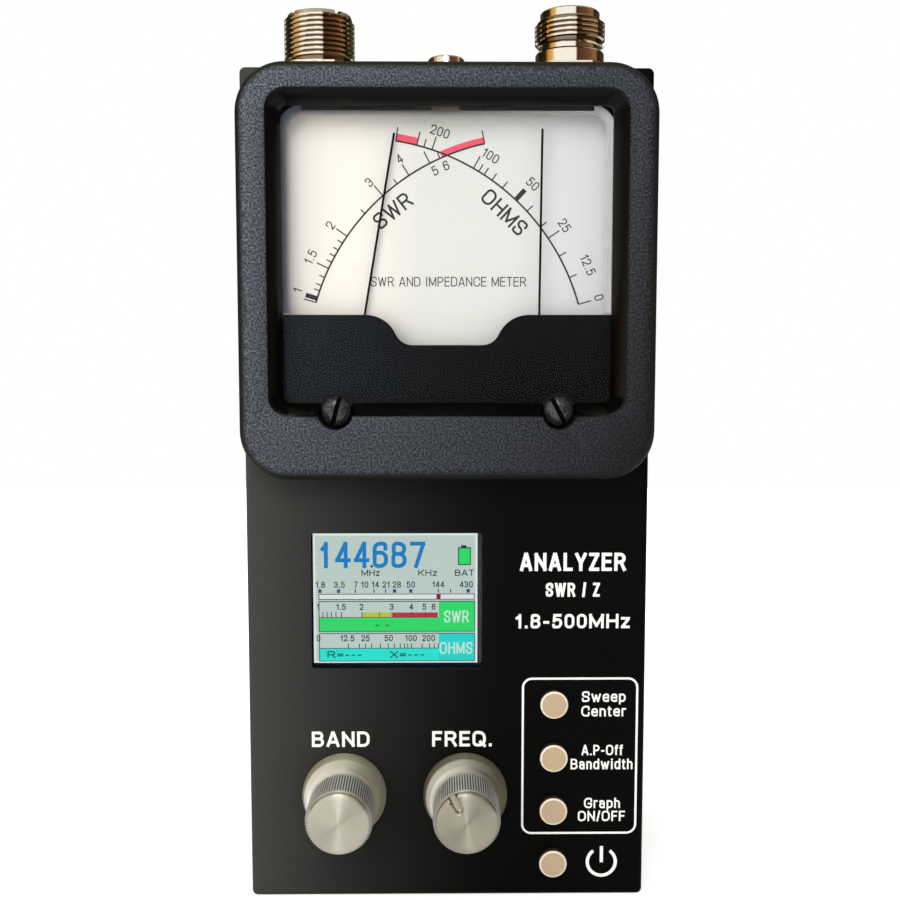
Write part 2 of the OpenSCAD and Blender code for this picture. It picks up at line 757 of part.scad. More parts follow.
module meter_window() color("#dfe8ea", 0.3) difference() {
    flat(lip_y, mask_y) meter_cutout(0);
    for (sx = [-1, 1]) rod(sx * meter_screw_x, screw_z, lip_y - over, mask_y + over,
                           meter_screw_d + 2 * thread_gap);
}

// A round head with a straight side and a spherical top
module domed(r, side, height) {
    rise = height - side;
    ball = (r * r + rise * rise) / (2 * rise);
    cylinder(h = side, r = r);
    rotate_extrude() intersection() {
        translate([0, height - ball]) circle(ball);
        translate([0, side / 2]) square([r, height]);
    }
}

module meter_screws() color("#3a3a3c") for (sx = [-1, 1]) {
    seat = lip_y - ear_t;
    difference() {
        translate([sx * meter_screw_x, seat, screw_z]) rotate([90, 0, 0])
            domed(meter_head_d / 2, head_side_t, meter_head_t);
        lean(sx * meter_screw_x, screw_z, sx < 0 ? slot_left : slot_right)
            translate([sx * meter_screw_x - slot_w / 2, seat - meter_head_t - over, screw_z - meter_head_d])
                cube([slot_w, meter_head_t / 2 + over, 2 * meter_head_d]);
    }
    rod(sx * meter_screw_x, screw_z, seat, seat + meter_screw_len, meter_screw_d);
}

// Meter case

module meter_case() color("#1c1c1e") difference() {
    union() {
        difference() {
            flat(mask_y, meter_back) meter_cutout(0);
            flat(mask_y - over, meter_floor) meter_inside(0);
        }
        flat(inner_y, inner_y + meter_flange_t) difference() {
            meter_cutout(meter_flange_w);
            meter_inside(0);
        }
        for (sx = [-1, 1], sz = [-1, 1])
            flat(dial_back, meter_floor)
                box2(column_w + over, column_w + over,
                     [sx * (pane_w / 2 - meter_wall - column_w / 2 + over / 2),
                      pane_c + sz * (pane_h / 2 - meter_wall - column_w / 2 + over / 2)]);
        for (sx = [-1, 1]) {
            rod(sx * meter_screw_x, screw_z, mask_back, mask_back + boss_len, boss_d);
            flat(mask_back, mask_back + boss_len) translate([sx * meter_screw_x, 0])
                polygon([[-boss_d / 2, pane_c - pane_h / 2 + meter_wall / 2], [-boss_d / 2, screw_z],
                         [boss_d / 2, screw_z], [boss_d / 2, pane_c - pane_h / 2 + meter_wall / 2]]);
        }
    }
    for (sx = [-1, 1]) rod(sx * meter_screw_x, screw_z, mask_y, mask_back + boss_len + over,
                           meter_screw_d + 2 * thread_gap);
    for (s = studs) rod(s[0], s[1], meter_floor - over, meter_back + over, stud_d + 2 * thread_gap);
}

// Points of an arc, by its centre, radius and end angles
function arc(c, r, a0, a1, n = 12) =
    [for (i = [0:n]) let (a = a0 + (a1 - a0) * i / n) c + r * [cos(a), sin(a)]];

// Two touching arcs make the S-shaped sides of the drop
mask_turn = 2 * atan(mask_drop / (mask_half - mask_flat));
mask_sum = (mask_half - mask_flat) / sin(mask_turn);
mask_big = 0.64 * mask_sum;
mask_small = mask_sum - mask_big;

module meter_mask() color("#22252c") difference() {
    top = window_low + mask_rise;
    w = pane_w / 2 - meter_wall - meter_gap;
    low = pane_c - pane_h / 2 + meter_wall + meter_gap;
    side = concat(
        arc([mask_half, top - mask_big], mask_big, 90, 90 + mask_turn),
        arc([mask_flat, top - mask_drop + mask_small], mask_small, mask_turn - 90, -90));
    left = [for (p = side) [-p[0], p[1]]];
    flat(mask_y, mask_back)
        polygon(concat([[w, low], [w, top]], side, [for (i = [len(left) - 1:-1:0]) left[i]],
                       [[-w, top], [-w, low]]));
    for (sx = [-1, 1]) rod(sx * meter_screw_x, screw_z, mask_y - over, mask_back + over,
                           meter_screw_d + 2 * thread_gap);
}

module meter_dial() color("#e9e7e2") {
    difference() {
        flat(dial_y, dial_back) meter_inside(meter_gap);
        for (sx = [-1, 1]) {
            rod(sx * meter_screw_x, screw_z, dial_y - over, dial_back + over, boss_d + 2 * meter_gap);
            flat(dial_y - over, dial_back + over)
                box2(boss_d + 2 * meter_gap, pane_h, [sx * meter_screw_x, screw_z - pane_h / 2]);
            rod(sx * pivot_x, axis_z, dial_y - over, dial_back + over, dial_hole_d);
        }
    }
    stop_pins(-pivot_x, ohms_lean, zero_lean, needle_low);
    stop_pins(pivot_x, -zero_lean, swr_lean, needle_high);
}

// Two pins that end a pointer's swing
module stop_pins(x, a0, a1, height) {
    side = asin((stop_d / 2 + needle_w / 2 + 2 * pivot_gap) / stop_r);
    front = dial_y - height - needle_t - stack_gap;
    for (a = [a0 - side, a1 + side])
        rod(x + stop_r * sin(a), axis_z + stop_r * cos(a), front, dial_y, stop_d);
}

// Meter movements

module needle(x, angle, height) lean(x, axis_z, angle) {
    front = dial_y - height - needle_t;
    flat(front, front + needle_t)
        polygon([[x - needle_w / 2, axis_z - tail_len], [x - needle_w / 2, axis_z + needle_len],
                 [x + needle_w / 2, axis_z + needle_len], [x + needle_w / 2, axis_z - tail_len]]);
    rod(x, axis_z, front - needle_t, front + 2 * needle_t, hub_d);
    rod(x, axis_z - tail_len, front - needle_t, front + needle_t, 3 * needle_w);
    rod(x, axis_z, front, coil_y, arbor_d);
}

module swr_needle() color("#101010") needle(pivot_x, swr_lean, needle_high);

module ohms_needle() color("#101010") needle(-pivot_x, ohms_lean, needle_low);

// A coil frame that turns in the gap, and its rear pivot
module coil(x, angle) lean(x, axis_z, angle) {
    reach = 2 * (leg_r + coil_leg);
    difference() {
        flat(coil_y, coil_back) box2(coil_w, reach, [x, axis_z]);
        flat(coil_y + coil_wall, coil_back - coil_wall) box2(coil_w + over, 2 * leg_r, [x, axis_z]);
    }
    rod(x, axis_z, coil_back, meter_floor - stack_gap, arbor_d);
}

module swr_coil() color("#a8622f") coil(pivot_x, swr_lean);

module ohms_coil() color("#a8622f") coil(-pivot_x, ohms_lean);

// A flat spiral strip on a collet
module hairspring(x) {
    collet = arbor_d / 2 + collet_wall;
    steps = 24;
    grow = (hairspring_r - collet) / (hairspring_turns * steps);
    spiral = [for (i = [0:hairspring_turns * steps]) [collet + grow * i, i * 360 / steps]];
    outer = [for (p = spiral) p[0] * [cos(p[1]), sin(p[1])]];
    back = [for (i = [len(spiral) - 1:-1:0]) spiral[i]];
    inner = [for (p = back) (p[0] - hairspring_t) * [cos(p[1]), sin(p[1])]];
    flat(hairspring_y, hairspring_y + hairspring_h) translate([x, axis_z]) {
        polygon(concat(outer, inner));
        difference() {
            circle(collet);
            circle(arbor_d / 2 + pivot_gap);
        }
    }
}

module swr_hairspring() color("#b98d3c") hairspring(pivot_x);

module ohms_hairspring() color("#b98d3c") hairspring(-pivot_x);

module each_movement() {
    translate([-pivot_x, 0, axis_z]) rotate([0, ohms_mid, 0]) children();
    translate([pivot_x, 0, axis_z]) rotate([0, swr_mid, 0]) children();
}

module meter_magnets() color("#6d7075") each_movement() rod(0, 0, core_y, core_back, core_d);

// Iron ring, with two webs that hold the core and two posts
module meter_yokes() color("#8a8d90") each_movement() {
    difference() {
        rod(0, 0, core_y, core_back, 2 * yoke_out);
        rod(0, 0, core_y - over, core_back + over, core_d);
        for (s = [0, 180]) rotate([0, s, 0]) gap_sector();
    }
    for (s = [-1, 1]) {
        rod(s * post_r, 0, bridge_y + bridge_t, core_y, post_d);
        rod(s * post_r, 0, core_back, meter_floor, post_d);
    }
}

// The free part of the gap on one side of the webs
module gap_sector() intersection() {
    difference() {
        rod(0, 0, core_y - over, core_back + over, 2 * yoke_in);
        rod(0, 0, core_y - 2 * over, core_back + 2 * over, core_d - over);
    }
    flat(core_y - over, core_back + over)
        polygon(2 * yoke_out * [[0, 0], [cos(web_angle / 2), sin(web_angle / 2)], [1, 1], [-1, 1],
                                [-cos(web_angle / 2), sin(web_angle / 2)]]);
}

module meter_bridges() color("#b9a24e") each_movement() difference() {
    flat(bridge_y, bridge_y + bridge_t) rounded(2 * post_r + bridge_w, bridge_w, 0.45 * bridge_w);
    rod(0, 0, bridge_y - over, bridge_y + bridge_t + over, arbor_d + 2 * pivot_gap);
}

module meter_bearings() color("#b9a24e") each_movement() difference() {
    rod(0, 0, bearing_y, meter_floor, bearing_d);
    rod(0, 0, bearing_y - over, meter_floor + over, arbor_d + 2 * pivot_gap);
}

// Studs that carry the radio-frequency board on the meter's back

module meter_studs() color("#c2a45a") for (s = studs) {
    rod(s[0], s[1], meter_floor, rf_y + board_t + stud_nut_t + over, stud_d);
    rod(s[0], s[1], meter_floor - bridge_t, meter_floor, spacer_d);
}

module stud_spacers() color("#b9bcc0") for (s = studs) difference() {
    rod(s[0], s[1], meter_back, rf_y, spacer_d);
    rod(s[0], s[1], meter_back - over, rf_y + over, stud_d + 2 * thread_gap);
}

module stud_nuts() color("#b9bcc0") for (s = studs) difference() {
    hex_rod(s[0], s[1], rf_y + board_t, rf_y + board_t + stud_nut_t, stud_nut_w);
    rod(s[0], s[1], rf_y, rf_y + board_t + stud_nut_t + over, stud_d + 2 * thread_gap);
}

// Display

module lcd_window() color("#20242a", 0.4)
    flat(inner_y, inner_y + lcd_window_t)
        rounded(lcd_w + 2 * lcd_lap, lcd_h + 2 * lcd_lap, lcd_r, [lcd_x, lcd_z]);

module lcd_glass() color("#16202c")
    flat(lcd_glass_y, lcd_back) box2(lcd_module_w - 2 * lcd_frame_t - 2 * lcd_gap,
        lcd_module_h - 2 * lcd_frame_t - 2 * lcd_gap, [lcd_x + lcd_module_shift, lcd_z]);

module lcd_frame() color("#b8bbbe") flat(lcd_glass_y, control_y) difference() {
    box2(lcd_module_w, lcd_module_h, [lcd_x + lcd_module_shift, lcd_z]);
    box2(lcd_module_w - 2 * lcd_frame_t, lcd_module_h - 2 * lcd_frame_t, [lcd_x + lcd_module_shift, lcd_z]);
}

module lcd_backlight() color("#e8e8e4")
    flat(lcd_back, control_y) box2(lcd_module_w - 2 * lcd_frame_t - 2 * lcd_gap,
        lcd_module_h - 2 * lcd_frame_t - 2 * lcd_gap, [lcd_x + lcd_module_shift, lcd_z]);

// Buttons

module button(i) {
    z = button_z + i * button_pitch;
    front = panel_y - button_proud;
    shoulder_y = inner_y + pivot_gap;
    translate([button_x, shoulder_y, z]) rotate([90, 0, 0]) rotate_extrude() {
        square([button_d / 2, shoulder_y - front - button_round]);
        square([button_d / 2 - button_round, shoulder_y - front]);
        translate([button_d / 2 - button_round, shoulder_y - front - button_round]) intersection() {
            circle(button_round);
            square(button_round);
        }
    }
    rod(button_x, z, shoulder_y, shoulder_y + shoulder_t, button_d + 2 * (button_gap + shoulder_w));
    rod(button_x, z, shoulder_y + shoulder_t, plunger_y - button_travel - pivot_gap, stem_d);
}

module power_button() color("#cfb795") button(0);

module graph_button() color("#cfb795") button(1);

module bandwidth_button() color("#cfb795") button(2);

module sweep_button() color("#cfb795") button(3);

module tact_switches() color("#2e2e30") for (i = [0:3]) {
    flat(switch_y, control_y) box2(switch_w, switch_w, [button_x, button_z + i * button_pitch]);
    rod(button_x, button_z + i * button_pitch, plunger_y, switch_y, stem_d);
}

// Knobs

// Ring of V-shaped ridges
module knurl_shape() {
    r = grip_d / 2;
    polygon([for (i = [0:2 * knurl_n - 1]) let (a = i * 180 / knurl_n, d = i % 2 * knurl_depth)
             (r - d) * [cos(a), sin(a)]]);
}

// The knob about its own axis, with its underside at zero
module knob_blank() difference() {
    neck = grip_d / 2 - knurl_depth - knurl_sink;
    union() {
        rotate_extrude() polygon([
            [0, 0], [skirt_d / 2, 0], [skirt_d / 2, rim_t], [shoulder_d / 2, skirt_h],
            [shoulder_d / 2 - knob_round, skirt_h + knob_round], [neck, knurl_low + knob_round],
            [neck, knurl_high], [face_d / 2, knob_h - knob_round],
            [face_d / 2 - knob_round, knob_h], [0, knob_h + face_crown]]);
        translate([0, 0, knurl_low]) linear_extrude(knurl_high - knurl_low) knurl_shape();
    }
    translate([0, 0, -over]) cylinder(h = hollow_h + over, d = hollow_d);
    cylinder(h = shaft_len - knob_gap + hollow_gap, d = shaft_d + 2 * thread_gap);
    translate([0, 0, set_screw_h]) rotate([90, 0, 0]) cylinder(h = grip_d, d = set_screw_d + 2 * thread_gap);
}

module placed_knob(x) translate([x, knob_y, knob_z]) rotate([90, 0, 0]) children();

module band_knob() color("#c9c4b4") placed_knob(band_x) knob_blank();

module freq_knob() color("#c9c4b4") placed_knob(freq_x) difference() {
    knob_blank();
    rotate(index_angle) translate([0, 0, knob_h - index_depth]) {
        translate([-index_w / 2, index_r + index_w / 2, 0]) cube([index_w, face_d, 2 * index_depth + over]);
        translate([0, index_r + index_w / 2, 0]) cylinder(h = 2 * index_depth + over, d = index_w);
    }
}

module shaft(x) rod(x, knob_z, panel_y - shaft_len, inner_y + encoder_len / 2, shaft_d);

module band_shaft() color("#a9adb0") shaft(band_x);

module freq_shaft() color("#a9adb0") shaft(freq_x);

module set_screw(x) placed_knob(x) translate([0, 0, set_screw_h]) rotate([90, 0, 0])
    translate([0, 0, shaft_d / 2 + thread_gap])
        cylinder(h = set_screw_len, d = set_screw_d);

module band_set_screw() color("#303032") set_screw(band_x);

module freq_set_screw() color("#303032") set_screw(freq_x);

module rotary_encoders() color("#7d8184") for (x = [band_x, freq_x]) difference() {
    union() {
        flat(inner_y, control_y) box2(encoder_w, encoder_w, [x, knob_z]);
        rod(x, knob_z, inner_y - bushing_len, inner_y, bushing_d);
    }
    rod(x, knob_z, inner_y - bushing_len - over, inner_y + encoder_len / 2 + shaft_gap,
        shaft_d + 2 * shaft_gap);
}

module encoder_washers() color("#c8cacc") for (x = [band_x, freq_x])
    flat(panel_y - encoder_washer_t, panel_y) translate([x, knob_z]) difference() {
        circle(d = encoder_washer_d);
        circle(d = bushing_d + 2 * thread_gap);
    }

module encoder_nuts() color("#c8cacc") for (x = [band_x, freq_x]) difference() {
    hex_rod(x, knob_z, panel_y - encoder_washer_t - encoder_nut_t, panel_y - encoder_washer_t, encoder_nut_w);
    rod(x, knob_z, panel_y - encoder_washer_t - encoder_nut_t - over, panel_y, bushing_d + 2 * thread_gap);
}

// Sockets

// A round piece on a socket's axis, by its profile of radius and height. Inside their nuts
// the shells are a little smaller than their bare threads.
module turned(x) translate([x, conn_y, 0]) rotate_extrude() children();

module uhf_shell() color("#b9a888") turned(uhf_x) difference() {
    low = case_h - uhf_in;
    inside_r = thread_d / 2 - 2 * thread_gap;
    nut_top = socket_nut_z + socket_nut_t;
    union() {
        polygon([[0, low], [inside_r, low], [inside_r, nut_top], [uhf_groove_d / 2, nut_top],
                 [uhf_groove_d / 2, nut_top + uhf_groove_len], [thread_d / 2, nut_top + uhf_groove_len],
                 [thread_d / 2, uhf_rim_z - uhf_chamfer], [thread_d / 2 - uhf_chamfer, uhf_rim_z],
                 [0, uhf_rim_z]]);
        translate([0, roof_z - inner_flange_t]) square([inner_flange_d / 2, inner_flange_t]);
    }
    translate([0, low - over]) square([uhf_bore_d / 2, uhf_rim_z - low + 2 * over]);
}

module uhf_insulator() color("#efe9dc") turned(uhf_x) difference() {
    translate([0, case_h - uhf_in]) square([uhf_bore_d / 2, uhf_h + uhf_in - uhf_hollow]);
    translate([0, case_h - uhf_in - over]) square([uhf_contact_d / 2, uhf_h + uhf_in]);
}

module uhf_contact() color("#c9a860") turned(uhf_x) difference() {
    low = case_h - uhf_in;
    tip = uhf_rim_z - uhf_hollow + uhf_contact_rise;
    union() {
        translate([0, low]) square([uhf_contact_d / 2, tip - low]);
        translate([0, low - solder_pin_len]) square([solder_pin_d / 2, solder_pin_len]);
    }
    translate([0, tip - uhf_hole_h]) square([uhf_hole_d / 2, uhf_hole_h + over]);
}

module n_shell() color("#b9a888") turned(nsocket_x) difference() {
    low = case_h - uhf_in;
    thread_top = nsocket_rim_z - nsocket_rim_h;
    thread_low = thread_top - nsocket_thread_len;
    groove_low = thread_low - nsocket_groove_len;
    inside_r = thread_d / 2 - 2 * thread_gap;
    nut_top = socket_nut_z + socket_nut_t;
    union() {
        polygon([[0, low], [inside_r, low], [inside_r, nut_top], [nsocket_barrel_d / 2, nut_top],
                 [nsocket_barrel_d / 2, groove_low - rim_chamfer], [nsocket_groove_d / 2, groove_low],
                 [nsocket_groove_d / 2, thread_low], [thread_d / 2, thread_low],
                 [thread_d / 2, thread_top - rim_chamfer], [nsocket_rim_d / 2, thread_top],
                 [nsocket_rim_d / 2, nsocket_rim_z - rim_chamfer],
                 [nsocket_rim_d / 2 - rim_chamfer, nsocket_rim_z], [0, nsocket_rim_z]]);
        translate([0, roof_z - inner_flange_t]) square([inner_flange_d / 2, inner_flange_t]);
    }
    translate([0, low - over]) square([nsocket_bore_d / 2, nsocket_rim_z - low + 2 * over]);
}

module n_insulator() color("#efe9dc") turned(nsocket_x) difference() {
    translate([0, case_h - uhf_in]) square([nsocket_bore_d / 2, nsocket_h + uhf_in - nsocket_hollow]);
    translate([0, case_h - uhf_in - over]) square([nsocket_contact_d / 2, nsocket_h + uhf_in]);
}

module n_contact() color("#c9a860") turned(nsocket_x) difference() {
    low = case_h - uhf_in;
    tip = nsocket_rim_z - nsocket_contact_drop;
    union() {
        translate([0, low]) square([nsocket_contact_d / 2, tip - low]);
        translate([0, low - solder_pin_len]) square([solder_pin_d / 2, solder_pin_len]);
    }
    translate([0, tip - nsocket_hole_h]) square([nsocket_hole_d / 2, nsocket_hole_h + over]);
}

module socket_washers() color("#b8b2a4") for (x = [uhf_x, nsocket_x]) turned(x)
    translate([thread_d / 2 + thread_gap, case_h]) square([(washer_d - thread_d) / 2 - thread_gap, washer_t]);

module socket_nuts() color("#a89c86")
    for (x = [uhf_x, nsocket_x]) translate([x, conn_y, socket_nut_z]) difference() {
        intersection() {
            cylinder(h = socket_nut_t, d = socket_nut_w / cos(30), $fn = 6);
            cylinder(h = socket_nut_t, d = nut_corner_d);
        }
        translate([0, 0, -over]) cylinder(h = socket_nut_t + 2 * over, d = thread_d + 2 * thread_gap);
    }

// Power jack

module dc_jack_shell() color("#b9a888") turned(jack_x) difference() {
    low = roof_z - jack_collar;
    union() {
        polygon([[0, low], [jack_d / 2, low], [jack_d / 2, jack_rim_z - rim_chamfer],
                 [jack_d / 2 - rim_chamfer, jack_rim_z], [0, jack_rim_z]]);
        translate([0, low]) square([jack_base_d / 2, roof_z - low]);
    }
    translate([0, low - over]) square([jack_bore_d / 2, jack_rim_z - low + 2 * over]);
}

module dc_jack_base() color("#1a1a1a") turned(jack_x) difference() {
    low = roof_z - jack_collar;
    union() {
        translate([0, low - jack_base_len]) square([jack_base_d / 2, jack_base_len]);
        translate([0, low]) square([jack_bore_d / 2, jack_rim_z - jack_bore_h - low]);
    }
    translate([0, jack_rim_z - jack_bore_h - jack_root_len]) square([jack_root_d / 2, jack_bore_h]);
}

module dc_jack_pin() color("#c9c2ae") turned(jack_x) {
    translate([0, jack_rim_z - jack_bore_h]) square([jack_pin_d / 2, jack_bore_h - jack_pin_drop]);
    translate([0, jack_rim_z - jack_bore_h - jack_root_len]) square([jack_root_d / 2, jack_root_len]);
}

module dc_jack_nut() color("#b8b2a4") translate([jack_x, conn_y, case_h]) difference() {
    cylinder(h = jack_nut_t, d = jack_nut_w / cos(30), $fn = 6);
    translate([0, 0, -over]) cylinder(h = jack_nut_t + 2 * over, d = jack_d + 2 * thread_gap);
}

// Boards

module control_places()
    for (sx = [-1, 1], z = [control_z + control_inset, control_z + control_h - control_inset])
        translate([sx * (control_w / 2 - control_inset), 0, z]) children();

module control_board() color("#1f5b3a") difference() {
    flat(control_y, control_back) box2(control_w, control_h, [0, control_z + control_h / 2]);
    control_places() rod(0, 0, control_y - over, control_back + over, board_screw_d + 2 * thread_gap);
}

module control_standoffs() color("#c8cacc") control_places() difference() {
    rod(0, 0, inner_y, control_y, standoff_d);
    rod(0, 0, inner_y + over, control_y + over, board_screw_d + 2 * thread_gap);
}

module control_screws() color("#b8babc") control_places() {
    rod(0, 0, control_back - board_screw_len, control_back, board_screw_d);
    rod(0, 0, control_back, control_back + board_head_t, board_head_d);
}

module rf_board() color("#1f5b3a") difference() {
    flat(rf_y, rf_y + board_t) box2(rf_w, rf_h, [0, rf_top - rf_h / 2]);
    for (s = studs) rod(s[0], s[1], rf_y - over, rf_y + board_t + over, stud_d + 2 * thread_gap);
}

module shield_can() color("#c2c4c6") {
    can_z = (studs[0][1] + studs[2][1]) / 2;
    front = rf_y + board_t;
    difference() {
        flat(front, front + can_d) box2(can_w, can_h, [0, can_z]);
        flat(front - over, front + can_d - can_t) box2(can_w - 2 * can_t, can_h - 2 * can_t, [0, can_z]);
    }
}

// Batteries

module battery_holder() color("#1d1d1f") difference() {
    flat(holder_front, holder_back) box2(holder_w, holder_h, [0, holder_z + holder_h / 2]);
    flat(holder_front - over, holder_back - holder_wall)
        box2(cell_room, holder_h - 2 * holder_wall, [0, holder_z + holder_h / 2]);
}

// Each cell in turn, with its nub to alternate sides
module each_cell() for (i = [0:cells - 1])
    translate([0, cell_y, holder_z + holder_wall + (i + 0.5) * cell_pitch])
        mirror([i % 2, 0, 0]) rotate([0, 90, 0]) children();

module batteries() color("#b07b2c") each_cell() {
    nub_end = cell_room / 2 - contact_t;
    translate([0, 0, nub_end - nub_h - cell_len]) cylinder(h = cell_len, d = cell_d);
    translate([0, 0, nub_end - nub_h]) cylinder(h = nub_h, d = nub_d);
}

module battery_contacts() color("#d0d2d4") each_cell() {
    end = cell_room / 2;
    for (z = [-end, end - contact_t])
        translate([-contact_w / 2, -contact_w / 2, z]) cube([contact_w, contact_w, contact_t]);
    translate([0, 0, contact_t - end]) cylinder(h = spring_room, d1 = spring_d, d2 = spring_tip_d);
}

front_case();
rear_cover();
case_screws();
meter_bezel();
meter_window();
meter_screws();
meter_case();
meter_mask();
meter_dial();
swr_needle();
ohms_needle();
swr_coil();
ohms_coil();
swr_hairspring();
ohms_hairspring();
meter_magnets();
meter_yokes();
meter_bridges();
meter_bearings();
meter_studs();
stud_spacers();
stud_nuts();
lcd_window();
lcd_frame();
lcd_glass();
lcd_backlight();
sweep_button();
bandwidth_button();
graph_button();
power_button();
tact_switches();
band_knob();
freq_knob();
band_shaft();
freq_shaft();
band_set_screw();
freq_set_screw();
rotary_encoders();
encoder_washers();
encoder_nuts();
uhf_shell();
uhf_insulator();
uhf_contact();
n_shell();
n_insulator();
n_contact();
socket_washers();
socket_nuts();
dc_jack_shell();
dc_jack_base();
dc_jack_pin();
dc_jack_nut();
control_board();
control_standoffs();
control_screws();
rf_board();
shield_can();
battery_holder();
batteries();
battery_contacts();
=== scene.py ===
import json
import math
import bmesh
import bpy
from mathutils import Matrix, Vector


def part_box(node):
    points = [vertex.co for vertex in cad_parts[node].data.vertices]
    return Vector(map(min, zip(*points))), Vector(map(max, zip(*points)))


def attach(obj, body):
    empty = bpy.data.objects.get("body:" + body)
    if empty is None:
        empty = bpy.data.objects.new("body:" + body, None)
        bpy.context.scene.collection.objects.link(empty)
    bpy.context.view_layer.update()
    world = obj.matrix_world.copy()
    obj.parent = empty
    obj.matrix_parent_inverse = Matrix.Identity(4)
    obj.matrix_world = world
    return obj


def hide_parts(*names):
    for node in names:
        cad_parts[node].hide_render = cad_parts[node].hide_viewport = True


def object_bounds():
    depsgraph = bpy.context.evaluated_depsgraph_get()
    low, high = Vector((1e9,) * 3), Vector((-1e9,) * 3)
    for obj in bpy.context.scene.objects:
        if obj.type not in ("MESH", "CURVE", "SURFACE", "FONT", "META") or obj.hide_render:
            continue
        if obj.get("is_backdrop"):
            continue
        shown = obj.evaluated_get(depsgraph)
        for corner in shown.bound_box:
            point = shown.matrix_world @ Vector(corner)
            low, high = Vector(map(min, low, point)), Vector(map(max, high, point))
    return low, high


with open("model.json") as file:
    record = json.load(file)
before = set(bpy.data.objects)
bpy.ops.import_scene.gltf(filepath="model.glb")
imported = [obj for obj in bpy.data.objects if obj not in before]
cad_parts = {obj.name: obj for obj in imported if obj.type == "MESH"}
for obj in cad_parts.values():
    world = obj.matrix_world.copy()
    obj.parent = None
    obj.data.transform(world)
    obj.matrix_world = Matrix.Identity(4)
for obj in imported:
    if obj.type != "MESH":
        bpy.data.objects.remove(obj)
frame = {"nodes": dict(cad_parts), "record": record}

mm = 0.001
nodes = frame["nodes"]
record = frame["record"]
bodies = record["behaviour"]["bodies"]
bodyOf = {node: body for body, members in bodies.items() for node in members}
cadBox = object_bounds()
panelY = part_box("front_case")[0].y
print("frame loaded:", len(nodes), "nodes")


def linear(hexColour):
    # sRGB hex to the linear colour that the shaders take
    values = [int(hexColour[i:i + 2], 16) / 255 for i in (0, 2, 4)]
    return [v / 12.92 if v <= 0.04045 else ((v + 0.055) / 1.055) ** 2.4 for v in values] + [1.0]


def perMetre(size):
    # texture scale for a pattern whose features are this many millimetres apart
    return 1000 / size


def linkTo(tree, node, links):
    # each link starts at a socket, or at the first one of a node
    for key, source in links.items():
        start = source.outputs[0] if isinstance(source, bpy.types.Node) else source
        tree.links.new(start, node.inputs[key])


def addNode(tree, kind, settings=None, links=None):
    node = tree.nodes.new("ShaderNode" + kind)
    for key, value in (settings or {}).items():
        if isinstance(key, int) or key in node.inputs:
            node.inputs[key].default_value = value
        else:
            setattr(node, key, value)
    linkTo(tree, node, links or {})
    return node


def startMaterial(name, settings=None):
    made = bpy.data.materials.new(name)
    made.use_nodes = True
    shader = made.node_tree.nodes["Principled BSDF"]
    for key, value in (settings or {}).items():
        shader.inputs[key].default_value = value
    return made, made.node_tree, shader


def emptyMaterial(name):
    made, tree = startMaterial(name)[:2]
    tree.nodes.clear()
    return made, tree


def objectPlace(tree, centre=(0, 0, 0)):
    # a point of the surface, measured from a centre
    coords = addNode(tree, "TexCoord")
    return addNode(tree, "VectorMath", {"operation": "SUBTRACT", 1: centre}, {0: coords.outputs["Object"]})


def blendColours(tree, factor, dark, pale):
    mix = addNode(tree, "Mix", {"data_type": "RGBA"}, {"Factor": factor})
    for slot, value in ((6, dark), (7, pale)):
        if isinstance(value, str):
            mix.inputs[slot].default_value = linear(value)
        else:
            linkTo(tree, mix, {slot: value})
    return mix.outputs[2]


def along(tree, place, axis, start, end):
    # 0 up to the start along an axis, 1 from the end on
    parts = addNode(tree, "SeparateXYZ", {}, {0: place})
    return addNode(tree, "MapRange", {1: start, 2: end}, {0: parts.outputs[axis]})


def awayFrom(tree, place, across):
    # the part of a place that lies across an axis, by the directions marked 1, and its length
    flat = addNode(tree, "VectorMath", {"operation": "MULTIPLY", 1: across}, {0: place})
    return flat, addNode(tree, "VectorMath", {"operation": "LENGTH"}, {0: flat}).outputs["Value"]


def pastOutline(tree, place, width, height, radius):
    # distance outwards from the box between the corners' centres: on the rounded outline, the radius
    half = [(width / 2 - radius) * mm, 1.0, (height / 2 - radius) * mm]
    size = addNode(tree, "VectorMath", {"operation": "ABSOLUTE"}, {0: place})
    past = addNode(tree, "VectorMath", {"operation": "SUBTRACT", 1: half}, {0: size})
    outer = addNode(tree, "VectorMath", {"operation": "MAXIMUM", 1: (0, 0, 0)}, {0: past})
    return addNode(tree, "VectorMath", {"operation": "LENGTH"}, {0: outer}).outputs["Value"]


def coverSurface(tree, shader, colour, noise, rough, height=0, strength=1.0):
    # a colour, and a gloss and a relief that follow one noise
    gloss = addNode(tree, "MapRange", {3: rough[0], 4: rough[1]}, {0: noise})
    linkTo(tree, shader, {"Base Color": colour, "Roughness": gloss})
    if height:
        bump = addNode(tree, "Bump", {"Strength": strength, "Distance": height * mm}, {"Height": noise})
        linkTo(tree, shader, {"Normal": bump})


